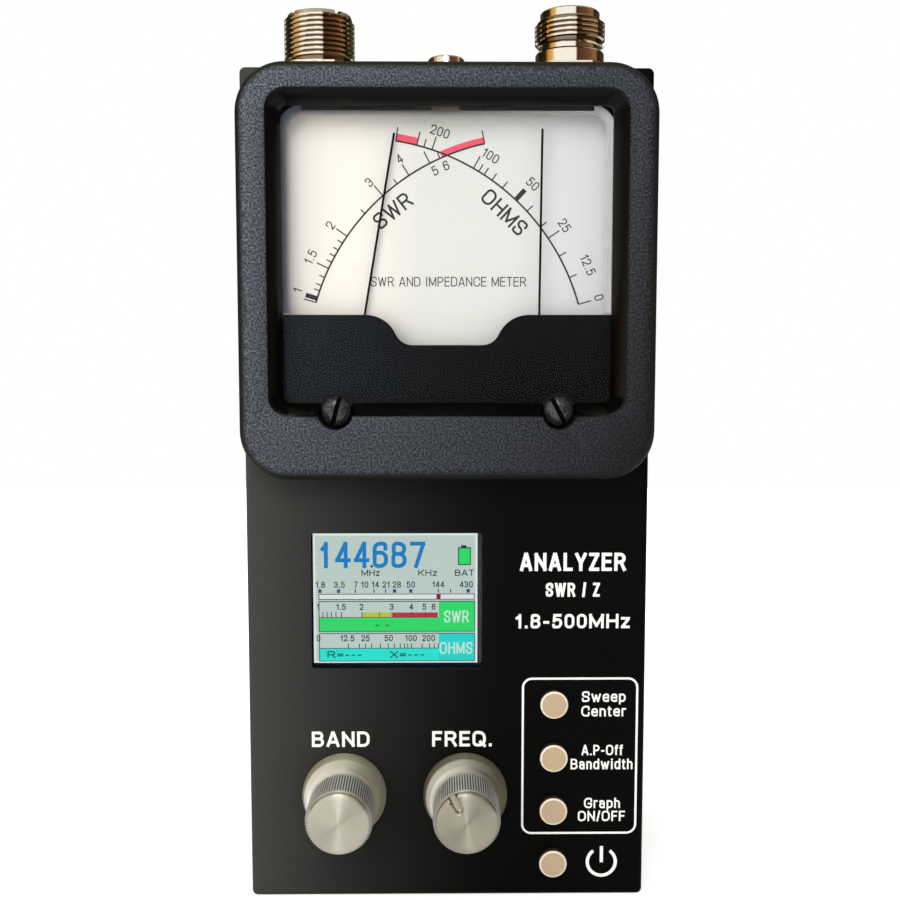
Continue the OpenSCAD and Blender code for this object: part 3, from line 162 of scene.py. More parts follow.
def grainFinish(name, dark, pale, grain, rough, height, settings=None):
    # painted, moulded and plated surfaces: one fine grain shifts colour, gloss and height
    made, tree, shader = startMaterial(name, settings)
    place = objectPlace(tree)
    noise = addNode(tree, "TexNoise", {"Scale": perMetre(grain), "Detail": 3.0}, {"Vector": place})
    factor = addNode(tree, "MapRange", {1: 0.35, 2: 0.65}, {0: noise})
    if isinstance(dark, tuple):
        # the front has painted reflection at its left and painted shade at its right; behind it, its own
        # colour
        reach = along(tree, place, "X", 0.016, -0.044)
        level = addNode(tree, "Math", {"operation": "POWER", 1: 2.0}, {0: reach})
        front = along(tree, place, "Y", panelY + 2 * mm, panelY + 0.5 * mm)
        dark, pale = [blendColours(tree, front, away, blendColours(tree, level, right, left))
                      for left, right, away in (dark, pale)]
        sheen = addNode(tree, "MapRange", {3: 0.3, 4: 0.05}, {0: front})
        linkTo(tree, shader, {"Specular IOR Level": sheen})
    wide = addNode(tree, "TexNoise", {"Scale": perMetre(40), "Detail": 2.0}, {"Vector": place})
    gloss = addNode(tree, "Math", {"operation": "MULTIPLY_ADD", 1: 0.35, 2: 0.3}, {0: wide})
    spread = addNode(tree, "Math", {"operation": "MULTIPLY_ADD", 1: 0.5}, {0: factor, 2: gloss})
    roughness = addNode(tree, "MapRange", {1: 0.3, 2: 1.1, 3: rough[0], 4: rough[1]}, {0: spread})
    bump = addNode(tree, "Bump", {"Strength": 1.0, "Distance": height * mm}, {"Height": noise})
    colour = blendColours(tree, factor, dark, pale)
    linkTo(tree, shader, {"Base Color": colour, "Roughness": roughness, "Normal": bump})
    return made


def meshFrom(bm, name):
    mesh = bpy.data.meshes.new(name)
    bm.to_mesh(mesh)
    bm.free()
    return mesh


def addObject(name, data):
    made = bpy.data.objects.new(name, data)
    bpy.context.scene.collection.objects.link(made)
    return made


def afterModifiers(piece):
    bpy.context.view_layer.update()
    return bpy.data.meshes.new_from_object(piece.evaluated_get(bpy.context.evaluated_depsgraph_get()))


def toObject(bm, name, material, body, sharp=30, replaces=()):
    # a finished mesh in the shared frame: flat where edges are sharp, smooth elsewhere
    mesh = meshFrom(bm, name)
    mesh.shade_smooth()
    mesh.set_sharp_from_angle(angle=math.radians(sharp))
    mesh.materials.append(material)
    piece = addObject(name, mesh)
    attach(piece, body)
    if replaces:
        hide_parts(*replaces)
    return piece


def closeUp(bm):
    # joins points that coincide, and turns the faces outwards
    bmesh.ops.remove_doubles(bm, verts=bm.verts, dist=0.0005 * mm)
    bmesh.ops.recalc_face_normals(bm, faces=bm.faces)


def turnBy(degrees, axis):
    return Matrix.Rotation(math.radians(degrees), 4, axis)


def moveBm(bm, place):
    bmesh.ops.transform(bm, matrix=place, verts=bm.verts)


def joinInto(bm, part):
    # adds a finished shape to another and frees it
    mesh = meshFrom(part, "part")
    bm.from_mesh(mesh)
    bpy.data.meshes.remove(mesh)


def addBox(bm, place, width, depth, height, foot=1.0):
    # a box, whose foot has a share of its width
    made = bmesh.ops.create_cube(bm, size=1.0)["verts"]
    for v in made:
        if v.co.z < 0:
            v.co.x *= foot
    shape = Matrix.Diagonal((width * mm, depth * mm, height * mm, 1.0))
    bmesh.ops.transform(bm, matrix=place @ shape, verts=made)


def addBlock(bm, x, z, width, height, y, thick, turn=0.0):
    # a thin plate on a front-facing surface at depth y, turned clockwise as the viewer sees it
    place = Matrix.Translation((x * mm, y * mm - thick * mm / 2, z * mm)) @ turnBy(turn, "Y")
    addBox(bm, place, width, thick, height)


def addSector(bm, centre, inner, outer, start, end, y, thick, steps=48):
    # part of a flat ring; angles run clockwise from upright, as the viewer sees them
    made = bmesh.ops.create_grid(bm, x_segments=1, y_segments=1, size=0.5)["verts"]
    middle = Vector((centre[0] * mm, (y - thick / 2) * mm, centre[1] * mm))
    place = (Matrix.Translation(middle) @ turnBy(start, "Y")
             @ Matrix.Translation((0, 0, (inner + outer) / 2 * mm)) @ turnBy(90, "Y")
             @ Matrix.Diagonal(((outer - inner) * mm, thick * mm, 1.0, 1.0)))
    bmesh.ops.transform(bm, matrix=place, verts=made)
    faces = list({f for v in made for f in v.link_faces})
    edges = list({e for f in faces for e in f.edges})
    bmesh.ops.spin(bm, geom=made + edges + faces, cent=middle, axis=(0, 1, 0),
                   angle=math.radians(end - start), steps=steps, use_duplicate=False)


# Each letter on one line: its width as a share of a capital's height, then its strokes. A stroke has a
# corner radius and points, across from 0 to 1 of the letter's width and up from 0 to 1 of a capital.
letterShapes = """
A .74 0: 0 0, .45 1; 0: 1 0, .55 1; 0: .2 .27, .8 .27
B .70 0: 0 0, 0 1; .2: 0 1, .93 1, .93 .53, 0 .53; .22: 0 .53, 1 .53, 1 0, 0 0
C .73 .34: 1 .7, 1 1, 0 1, 0 0, 1 0, 1 .3
D .72 .36: 0 1, 1 1, 1 0, 0 0; 0: 0 0, 0 1
E .62 0: 1 1, 0 1, 0 0, 1 0; 0: 0 .52, .9 .52
F .58 0: 1 1, 0 1, 0 0; 0: 0 .5, .85 .5
G .77 .34: 1 .72, 1 1, 0 1, 0 0, 1 0, 1 .42; 0: 1 .44, .6 .44
H .72 0: 0 0, 0 1; 0: 1 0, 1 1; 0: 0 .52, 1 .52
I .24 0: .5 0, .5 1
K .72 0: 0 0, 0 1; 0: .98 1, .05 .36; 0: .98 0, .36 .58
L .56 0: 0 1, 0 0, 1 0
M .86 0: 0 0, 0 1; 0: 1 0, 1 1; 0: 0 .96, .5 .12; 0: 1 .96, .5 .12
N .72 0: 0 0, 0 1; 0: 1 0, 1 1; 0: 0 .96, 1 .04
O .78 .34: 0 .5, 0 1, 1 1, 1 0, 0 0, 0 .5
P .66 0: 0 0, 0 1; .24: 0 1, 1 1, 1 .45, 0 .45
Q .78 .34: 0 .5, 0 1, 1 1, 1 0, 0 0, 0 .5; 0: .62 .25, 1 -.04
R .71 0: 0 0, 0 1; .23: 0 1, .96 1, .96 .48, 0 .48; 0: .6 .48, 1 0
S .68 .24: 1 .73, 1 1, 0 1, 0 .54, 1 .46, 1 0, 0 0, 0 .27
T .64 0: 0 1, 1 1; 0: .5 0, .5 1
W 1.0 0: 0 1, .25 0; 0: .25 0, .5 .96; 0: .5 .96, .75 0; 0: .75 0, 1 1
X .70 0: 0 0, 1 1; 0: 0 1, 1 0
Y .70 0: 0 1, .5 .42; 0: 1 1, .5 .42; 0: .5 .42, .5 0
Z .62 0: 0 1, 1 1; 0: .95 .95, .05 .05; 0: 0 0, 1 0
a .56 .2: .05 .6, .05 .73, .95 .73, .95 0; .17: .95 .2, .95 .42, 0 .42, 0 0, .95 0, .95 .2
d .58 .25: 0 .34, 0 .73, 1 .73, 1 0, 0 0, 0 .34; 0: 1 0, 1 1
e .57 0: 0 .38, 1 .38; .25: 1 .38, 1 .73, 0 .73, 0 0, .97 0, .97 .12
f .36 .2: .35 0, .35 1, 1 1; 0: 0 .73, .95 .73
h .55 0: 0 0, 0 1; .24: 0 .45, 0 .73, 1 .73, 1 0
i .22 0: .5 0, .5 .73; 0: .5 .98, .5 1
n .55 0: 0 0, 0 .73; .24: 0 .45, 0 .73, 1 .73, 1 0
p .58 .25: 0 .34, 0 .73, 1 .73, 1 0, 0 0, 0 .34; 0: 0 -.28, 0 .73
r .38 0: 0 0, 0 .73; .24: 0 .35, 0 .73, 1 .73
t .36 .2: .35 .92, .35 0, 1 0; 0: 0 .73, .95 .73
w .84 0: 0 .73, .26 0; 0: .26 0, .5 .62; 0: .5 .62, .74 0; 0: .74 0, 1 .73
z .52 0: 0 .73, 1 .73; 0: .93 .63, .07 .05; 0: 0 0, 1 0
0 .58 .28: 0 .5, 0 1, 1 1, 1 0, 0 0, 0 .5
1 .40 0: .85 0, .85 1; 0: .8 .93, .15 .76
2 .58 .26: 0 .72, 0 1, 1 1, 1 .58, .05 .04; 0: 0 0, 1 0
3 .58 .22: 0 .77, 0 1, .95 1, .95 .53, .4 .53; .24: .4 .53, 1 .53, 1 0, 0 0, 0 .24
4 .60 0: .74 0, .74 1; 0: .68 .97, .03 .3; 0: 0 .26, 1 .26
5 .58 0: .92 1, .14 1, .08 .52; .25: .1 .56, .26 .63, 1 .63, 1 0, .02 0, 0 .16
6 .58 .25: 0 .3, 0 .6, 1 .6, 1 0, 0 0, 0 .3; .27: 0 .3, 0 1, .95 1, .95 .78
7 .58 0: 0 1, 1 1; 0: .96 .95, .36 0
8 .58 .2: .04 .75, .04 1, .96 1, .96 .54, .04 .54, .04 .75; .23: 0 .27, 0 .54, 1 .54, 1 0, 0 0, 0 .27
9 .58 .25: 1 .7, 1 .4, 0 .4, 0 1, 1 1, 1 .7; .27: 1 .7, 1 0, .05 0, .05 .22
. .22 0: .5 0, .5 .02
- .40 0: .1 .4, .9 .4
/ .36 0: 0 -.04, 1 1.04
= .56 0: 0 .3, 1 .3; 0: 0 .6, 1 .6
"""
# shares of a capital's height, steps in a corner, and mm under which two points of a path are one
lettering = {"gap": 0.15, "space": 0.32, "arcSteps": 5, "nearest": 0.002}


def readLetters(text):
    # the letters' widths and strokes by character
    letters = {}
    for row in text.strip().splitlines():
        width, strokes = row[2:].split(" ", 1)
        letters[row[0]] = (float(width), [])
        for stroke in strokes.split(";"):
            radius, points = stroke.split(":")
            pairs = [tuple(float(v) for v in point.split()) for point in points.split(",")]
            letters[row[0]][1].append((float(radius), pairs))
    return letters


letters = readLetters(letterShapes)


def roundCorners(points, radius, closed):
    # the same path with an arc in each corner, as wide as the corner's sides allow
    count = len(points)
    rounded = []
    for i, point in enumerate(points):
        if not closed and i in (0, count - 1):
            rounded.append(point)
            continue
        before, after = points[i - 1] - point, points[(i + 1) % count] - point
        half = before.angle(after) / 2
        if radius == 0 or half > math.radians(89):
            rounded.append(point)
            continue
        reach = min(radius / math.tan(half), before.length / 2, after.length / 2)
        first, last = point + before.normalized() * reach, point + after.normalized() * reach
        middle = point + (before.normalized() + after.normalized()).normalized() * (reach / math.cos(half))
        start, end = first - middle, last - middle
        begin = math.atan2(start.y, start.x)
        sweep = (math.atan2(end.y, end.x) - begin + math.pi) % (2 * math.pi) - math.pi
        for step in range(lettering["arcSteps"] + 1):
            angle = begin + sweep * step / lettering["arcSteps"]
            rounded.append(middle + Vector((math.cos(angle), math.sin(angle))) * start.length)
    path = [rounded[0]]
    for point in rounded[1:]:
        if (point - path[-1]).length > lettering["nearest"]:
            path.append(point)
    if closed and (path[0] - path[-1]).length <= lettering["nearest"]:
        path.pop()
    return path


def addStroke(bm, points, radius, wide):
    # a flat ribbon along a path, with square ends half its width beyond the path's
    closed = points[0] == points[-1]
    path = roundCorners(points[:-1] if closed else points, radius, closed)
    if not closed:
        path[0] = path[0] + (path[0] - path[1]).normalized() * wide / 2
        path[-1] = path[-1] + (path[-1] - path[-2]).normalized() * wide / 2
    count = len(path)
    pairs = []
    for i, point in enumerate(path):
        before = point - path[i - 1] if i or closed else path[1] - point
        after = path[(i + 1) % count] - point if i < count - 1 or closed else before
        along = (before.normalized() + after.normalized()).normalized()
        side = Vector((-along.y, along.x)) * (wide / 2 / max(0.3, along.dot(before.normalized())))
        pairs.append([bm.verts.new((*(point + side), 0)), bm.verts.new((*(point - side), 0))])
    for i in range(count if closed else count - 1):
        (a, b), (c, d) = pairs[i], pairs[(i + 1) % count]
        bm.faces.new((a, b, d, c))


def raiseInto(bm, flat, thick, place):
    # gives flat faces a thickness, and adds them at their place
    extruded = bmesh.ops.extrude_face_region(flat, geom=flat.faces[:])["geom"]
    rising = [v for v in extruded if isinstance(v, bmesh.types.BMVert)]
    bmesh.ops.translate(flat, vec=(0, 0, thick), verts=rising)
    bmesh.ops.recalc_face_normals(flat, faces=flat.faces)
    moveBm(flat, place)
    joinInto(bm, flat)


def addLetters(bm, text, cap, x, z, y, thick, stroke=0.12, width=None, turn=0.0):
    # flat closed letters on a front-facing surface, centred on a point by their capitals
    widths = [letters[c][0] if c != " " else lettering["space"] for c in text]
    natural = (sum(widths) + lettering["gap"] * (len(text) - 1)) * cap
    fit = 1.0 if width is None else width / natural
    wide = stroke * cap
    flat = bmesh.new()
    at = -natural * fit / 2
    for c, share in zip(text, widths):
        span = share * cap * fit
        for radius, points in (letters[c][1] if c != " " else []):
            path = [Vector((at + wide / 2 + u * (span - wide), wide / 2 + v * (cap - wide) - cap / 2))
                    for u, v in points]
            addStroke(flat, path, radius * cap, wide)
        at += span + lettering["gap"] * cap * fit
    place = (Matrix.Translation((x * mm, y * mm, z * mm)) @ turnBy(turn, "Y") @ turnBy(90, "X")
             @ Matrix.Scale(mm, 4))
    raiseInto(bm, flat, thick, place)


def addRoundedPlate(bm, x, z, width, height, radius, y, thick, line=None):
    # a plate with round corners, or with line given only its outline of that width
    flat = bmesh.new()
    bmesh.ops.create_grid(flat, x_segments=1, y_segments=1, size=0.5)
    bmesh.ops.scale(flat, vec=(width * mm, height * mm, 1), verts=flat.verts)
    bmesh.ops.bevel(flat, geom=flat.verts[:], offset=radius * mm, offset_type="OFFSET", segments=8,
                    profile=0.5, affect="VERTICES", material=-1)
    if line:
        middle = flat.faces[:]
        bmesh.ops.inset_region(flat, faces=middle, thickness=line * mm, use_even_offset=True,
                               use_boundary=True)
        bmesh.ops.delete(flat, geom=middle, context="FACES_ONLY")
    place = Matrix.Translation((x * mm, y * mm, z * mm)) @ turnBy(90, "X")
    raiseInto(bm, flat, thick * mm, place)


def addLathe(bm, profile, steps=96):
    # a turned piece on a vertical axis, from points of radius and height
    verts = [bm.verts.new((r * mm, 0, h * mm)) for r, h in profile]
    edges = [bm.edges.new(pair) for pair in zip(verts, verts[1:])]
    bmesh.ops.spin(bm, geom=verts + edges, cent=(0, 0, 0), axis=(0, 0, 1), angle=2 * math.pi,
                   steps=steps, use_merge=True, use_duplicate=False)
    closeUp(bm)


def addThread(bm, root, crest, pitch, low, high, steps=48):
    # a helical ridge wound from low to high, whose root lies inside the core
    halfRoot, halfCrest, sink = pitch * 0.46, pitch * 0.2, 0.15
    corners = [(root - sink, -halfRoot), (crest, -halfCrest), (crest, halfCrest), (root - sink, halfRoot)]
    start = low + halfRoot
    turns = (high - low - 2 * halfRoot) / pitch
    count = round(turns * steps)
    ridge = bmesh.new()
    verts = [ridge.verts.new((r * mm, 0, (start + h) * mm)) for r, h in corners]
    face = ridge.faces.new(verts)
    bmesh.ops.spin(ridge, geom=verts + list(face.edges) + [face], cent=(0, 0, 0), axis=(0, 0, 1),
                   dvec=(0, 0, turns * pitch * mm / count), angle=2 * math.pi * turns, steps=count,
                   use_duplicate=False)
    closeUp(ridge)
    joinInto(bm, ridge)


def cutBy(bm, cutter, joining=False):
    # takes the cutter's volume out of the shape, and joins the shape's own overlaps where asked
    body, tool = [addObject("held", meshFrom(shape, "held")) for shape in (bm, cutter)]
    cut = body.modifiers.new("cut", "BOOLEAN")
    cut.operation = "DIFFERENCE"
    cut.solver = "EXACT"
    cut.use_self = joining
    cut.object = tool
    result = afterModifiers(body)
    done = bmesh.new()
    done.from_mesh(result)
    bpy.data.meshes.remove(result)
    for held in (body, tool):
        bpy.data.objects.remove(held)
    return done


def joinOverlaps(bm):
    # makes one shell of strokes that cross, by a cut that stands clear of them
    bmesh.ops.recalc_face_normals(bm, faces=bm.faces)
    clear = bmesh.new()
    bmesh.ops.create_cube(clear, size=mm)
    bmesh.ops.translate(clear, vec=(0, 0, 1), verts=clear.verts)
    return cutBy(bm, clear, True)


def weighNormals(piece):
    # large flat faces keep their own shading, so that small faces beside them don't tilt it
    weigh = piece.modifiers.new("weigh", "WEIGHTED_NORMAL")
    weigh.keep_sharp = True
    mesh = afterModifiers(piece)
    piece.modifiers.clear()
    before = piece.data
    piece.data = mesh
    bpy.data.meshes.remove(before)


def smoothCopy(node, name, material, sharp=30):
    # stands for a node that is round in places: the same shape with its triangles joined up
    bm = bmesh.new()
    bm.from_mesh(nodes[node].data)
    bmesh.ops.remove_doubles(bm, verts=bm.verts, dist=0.001 * mm)
    weighNormals(toObject(bm, name, material, bodyOf[node], sharp, (node,)))


grained = {
    "grain": 0.4, "relief": 0.06,   # mm between the pips of the moulded grain, and their height
    # the grain's colours at the upper left are a painted highlight, at the lower right painted shade
    "dark": ("2d3037", "020202"), "pale": ("6d7480", "111315"),   # at the upper left and the lower right
    "smooth": "030303", "side": "171513",
    # mm: the rounded opening that the slope leads to, the height of its middle, and where the side begins
    "width": 72.0, "height": 64.7, "radius": 4.0, "middle": 137.4, "edge": (-33.97, -33.3),
}


def bezelPhenolic(g):
    # black phenolic, moulded: spark-eroded grain glitters on the front, the slope to the window is polished
    made, tree, shader = startMaterial("black phenolic, moulded", {"Specular IOR Level": 0.15})
    place = objectPlace(tree)
    fromMiddle = objectPlace(tree, (0, 0, g["middle"] * mm))
    outwards = pastOutline(tree, fromMiddle, g["width"], g["height"], g["radius"])
    front = addNode(tree, "MapRange", {1: (g["radius"] - 0.05) * mm, 2: (g["radius"] + 0.25) * mm},
                    {0: outwards})
    noise = addNode(tree, "TexNoise", {"Scale": perMetre(g["grain"]), "Detail": 2.0}, {"Vector": place})
    speck = addNode(tree, "MapRange", {1: 0.4, 2: 0.7}, {0: noise})
    # painted light: the grain runs from a painted highlight at the upper left to painted shade at the lower
    # right
    slant = addNode(tree, "VectorMath", {"operation": "DOT_PRODUCT", 1: (0.9, 0, -0.45)}, {0: place})
    across = addNode(tree, "MapRange", {1: -0.117, 2: -0.004}, {0: slant.outputs["Value"]})
    dark, pale = [blendColours(tree, across, *g[shade]) for shade in ("dark", "pale")]
    side = along(tree, place, "Y", g["edge"][0] * mm, g["edge"][1] * mm)
    grain = blendColours(tree, side, blendColours(tree, speck, dark, pale), g["side"])
    colour = blendColours(tree, front, g["smooth"], grain)
    rough = addNode(tree, "MapRange", {3: 0.32, 4: 0.55}, {0: front})
    height = addNode(tree, "Math", {"operation": "MULTIPLY"}, {0: noise, 1: front})
    bump = addNode(tree, "Bump", {"Strength": 1.0, "Distance": g["relief"] * mm}, {"Height": height})
    linkTo(tree, shader, {"Base Color": colour, "Roughness": rough, "Normal": bump})
    return made


def clearPane(name, tint):
    # clear acrylic, cast and polished: nearly all the light goes through, a little is mirrored
    made, tree = emptyMaterial(name)
    through = addNode(tree, "BsdfTransparent", {"Color": linear(tint)})
    noise = addNode(tree, "TexNoise", {"Scale": perMetre(25)}, {"Vector": objectPlace(tree)})
    haze = addNode(tree, "MapRange", {3: 0.02, 4: 0.06}, {0: noise})
    mirror = addNode(tree, "BsdfGlossy", {"Color": (1, 1, 1, 1)}, {"Roughness": haze})
    edge = addNode(tree, "Fresnel", {"IOR": 1.14})
    # no light is mirrored on its way out of the pane, because these shaders don't bend it
    inside = addNode(tree, "NewGeometry").outputs["Backfacing"]
    entering = addNode(tree, "MapRange", {3: 0.8, 4: 0.0}, {0: inside})
    # bloomed against glare, so the mirrored share stays low where the pane is seen from the side
    bloomed = addNode(tree, "Math", {"operation": "MINIMUM", 1: 0.006}, {0: edge})
    share = addNode(tree, "Math", {"operation": "MULTIPLY"}, {0: bloomed, 1: entering})
    both = addNode(tree, "MixShader", {}, {0: share, 1: through, 2: mirror})
    addNode(tree, "OutputMaterial", {}, {"Surface": both})
    return made


enamel = {
    # painted light: the dial is paler and warmer at the left, where the light falls, and darker to the right
    "left": "f6f2ea", "middle": "ced4cf", "right": "ccd3d9", "speck": "c9c6c0",
    "specks": 0.5,              # mm from speck to speck, drawn coarse enough to show
    "places": (-34, -6, 34),    # mm from the object's middle, where each of the first three colours is full
}


def dialEnamel(e):
    # matt white enamel, sprayed on the dial plate, painted warm and light at the left, greener, cooler and
    # darker to the right: painted light
    made, tree, shader = startMaterial("matt white enamel, sprayed")
    place = objectPlace(tree)
    left, middle, right = [x * mm for x in e["places"]]
    paintedLight = blendColours(tree, along(tree, place, "X", left, middle), e["left"], e["middle"])
    paintedLight = blendColours(tree, along(tree, place, "X", middle, right), paintedLight, e["right"])
    noise = addNode(tree, "TexNoise", {"Scale": perMetre(e["specks"]), "Detail": 4.0}, {"Vector": place})
    speck = addNode(tree, "MapRange", {1: 0.3, 2: 0.7, 3: 0.0, 4: 0.05}, {0: noise})
    coverSurface(tree, shader, blendColours(tree, speck, paintedLight, e["speck"]), noise, (0.5, 0.7), 0.01)
    return made


knob = {
    "rings": 0.12, "clouds": 3.0,   # mm between the lathe's rings, and between the film's paler clouds
    # mm over which one look fades into the next: back from the knob's middle, or out from its axis
    "grip": (-6.7, -6.3), "behindFace": (-6.6, -6.2), "skirt": (1.4, 1.7),
    "grooves": (6.86, 6.66), "flange": (8.35, 8.55),
    "shoulder": 3.0, "shoulderHalf": 0.4,
    # the grip's own colour, painted shade for the knurl's grooves, and a painted highlight for the shoulder
    "gripColour": "f6f5f0", "paintedGrooveShade": "151615", "paintedShoulderHighlight": "fdfcf6",
}


def turnedAluminium(name, centre, k, dark, pale, lit, shaded):
    # anodised aluminium, faced on a lathe: rings round the axis fan the light, drawn coarse enough to show
    made, tree, shader = startMaterial(name, {"Anisotropic": 0.9})
    place = objectPlace(tree, centre)
    flat, radius = awayFrom(tree, place, (1, 0, 1))
    depth = addNode(tree, "SeparateXYZ", {}, {0: place}).outputs["Y"]
    fades = {}
    for zone, value in (("grip", depth), ("behindFace", depth), ("skirt", depth), ("grooves", radius),
                        ("flange", radius)):
        start, end = k[zone]
        fades[zone] = addNode(tree, "MapRange", {1: start * mm, 2: end * mm}, {0: value})
    rings = addNode(tree, "TexNoise", {"noise_dimensions": "1D", "Scale": perMetre(k["rings"]),
                                       "Detail": 3.0}, {"W": radius})
    clouds = addNode(tree, "TexNoise", {"Scale": perMetre(k["clouds"])}, {"Vector": place})
    face = blendColours(tree, clouds, blendColours(tree, rings, dark, pale), dark)
    knurl = addNode(tree, "Math", {"operation": "MULTIPLY"}, {0: fades["grooves"], 1: fades["behindFace"]})
    shoulder = addNode(tree, "Math", {"operation": "COMPARE", 1: k["shoulder"] * mm,
                                      2: k["shoulderHalf"] * mm}, {0: depth})
    # painted light: the skirt's cone is lit at its left, shaded at its right and past the flange; the
    # shoulder ring has a painted highlight at its left
    cone = blendColours(tree, along(tree, place, "X", -0.009, 0.007), lit, shaded)
    cone = blendColours(tree, fades["flange"], cone, shaded)
    corner = blendColours(tree, along(tree, place, "X", -0.008, 0.004), k["paintedShoulderHighlight"], shaded)
    cone = blendColours(tree, shoulder, cone, corner)
    side = blendColours(tree, fades["grip"], face, k["gripColour"])
    # painted shade: the knurl's grooves are near black
    side = blendColours(tree, knurl, side, k["paintedGrooveShade"])
    colour = blendColours(tree, fades["skirt"], side, cone)
    coverSurface(tree, shader, colour, rings, (0.36, 0.46), 0.004, 0.4)
    bare = addNode(tree, "MapRange", {3: 1.0, 4: 0.5}, {0: fades["grip"]})
    linkTo(tree, shader, {"Metallic": bare, "Tangent": flat})
    return made


button = {
    "pitch": 11.75,   # mm from one button to the next
    "rim": (2.5, 2.7), "front": (0.3, 0.2),   # mm from the axis, and back from the front
    "dark": "ac9677", "pale": "b9a386", "side": "2b251c", "paintedRimHighlight": "e8dccb",
}


def buttonLacquer(low, high, b):
    # satin lacquer on moulded plastic: a beige face inside a paler rim, a painted highlight, with its side
    # wall dark as painted shade; the corners are one button's
    made, tree, shader = startMaterial("champagne lacquer on ABS", {"Coat Weight": 0.2})
    place = objectPlace(tree, ((low.x + high.x) / 2, low.y, (low.z + high.z) / 2))
    parts = addNode(tree, "SeparateXYZ", {}, {0: place})
    half = b["pitch"] / 2 * mm
    up = addNode(tree, "Math", {"operation": "ADD", 1: half}, {0: parts.outputs["Z"]})
    within = addNode(tree, "Math", {"operation": "MODULO", 1: 2 * half}, {0: up})
    height = addNode(tree, "Math", {"operation": "SUBTRACT", 1: half}, {0: within})
    flat = addNode(tree, "CombineXYZ", {}, {0: parts.outputs["X"], 1: height})
    radius = addNode(tree, "VectorMath", {"operation": "LENGTH"}, {0: flat}).outputs["Value"]
    ring = addNode(tree, "MapRange", {1: b["rim"][0] * mm, 2: b["rim"][1] * mm}, {0: radius})
    front = along(tree, place, "Y", b["front"][0] * mm, b["front"][1] * mm)   # 1 on the front
    rim = addNode(tree, "Math", {"operation": "MULTIPLY"}, {0: ring, 1: front})
    noise = addNode(tree, "TexNoise", {"Scale": perMetre(0.6), "Detail": 3.0}, {"Vector": objectPlace(tree)})
    # painted shade: the side wall behind the front is dark brown
    face = blendColours(tree, front, b["side"], blendColours(tree, noise, b["dark"], b["pale"]))
    coverSurface(tree, shader, blendColours(tree, rim, face, b["paintedRimHighlight"]), noise, (0.35, 0.5), 0.004)
    return made


def copperWire():
    # enamelled copper wire, wound in layers: ridges across the coil's sides, drawn coarse enough to show
    made, tree, shader = startMaterial("enamelled copper wire, wound", {"Metallic": 0.9, "Roughness": 0.3})
    ridge, band = 0.754, 2 * math.pi / 20   # mm from ridge to ridge, and the width of a wave at scale 1
    wind = addNode(tree, "TexWave", {"bands_direction": "X", "Scale": perMetre(ridge) * band,
                                     "Distortion": 0.6}, {"Vector": objectPlace(tree)}).outputs["Fac"]
    bump = addNode(tree, "Bump", {"Distance": 0.03 * mm}, {"Height": wind})
    # painted shade: the colour darkens down between the turns, following the wave
    linkTo(tree, shader, {"Base Color": blendColours(tree, wind, "6e3413", "c9803f"), "Normal": bump})
    return made


def litColour(name, colour):
    # a lit display's colour: rows of cells, a little darker between them, drawn coarse enough to show
    cells = 0.47   # mm from row to row
    made, tree, shader = startMaterial(name, {"Base Color": linear("101010"), "Roughness": 0.3,
                                              "Emission Strength": 0.86, "Specular IOR Level": 0.1})
    parts = addNode(tree, "SeparateXYZ", {}, {0: objectPlace(tree)})
    rows = addNode(tree, "Math", {"operation": "MULTIPLY", 1: 2 * math.pi * perMetre(cells)},
                   {0: parts.outputs["Z"]})
    wave = addNode(tree, "Math", {"operation": "SINE"}, {0: rows})
    factor = addNode(tree, "MapRange", {1: -1.0, 2: 0.2, 3: 0.86, 4: 1.0}, {0: wave})
    shade = addNode(tree, "HueSaturation", {"Color": linear(colour)}, {"Value": factor})
    linkTo(tree, shader, {"Emission Color": shade})
    return made


def printedInk(name, colour):
    # screen-printed ink: an even film whose gloss wanders a little
    made, tree, shader = startMaterial(name)
    noise = addNode(tree, "TexNoise", {"Scale": perMetre(0.3), "Detail": 2.0}, {"Vector": objectPlace(tree)})
    thin, solid = [addNode(tree, "HueSaturation", {"Color": linear(colour), "Value": value})
                   for value in (0.93, 1.0)]
    coverSurface(tree, shader, blendColours(tree, noise, thin, solid), noise, (0.4, 0.6))
    return made


metal = {"Metallic": 1.0}
dull = {"Specular IOR Level": 0.05}
knobTint = {
    # the turned face's two colours, then the skirt's painted lit and shaded sides; the freq knob's colours
    # are the band knob's painted darker, painted shade
    "band_knob": ("c4c0b1", "dedace", "fbf9ec", "9d9a83"),
    "freq_knob": ("aba697", "c6c1b3", "e9e7d8", "6f6c58"),
}
knobFinish = {}
for node, tint in knobTint.items():
    low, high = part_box(node)
    name = "anodised aluminium, " + node.split("_")[0]
    knobFinish[node] = turnedAluminium(name, (low + high) / 2, knob, *tint)

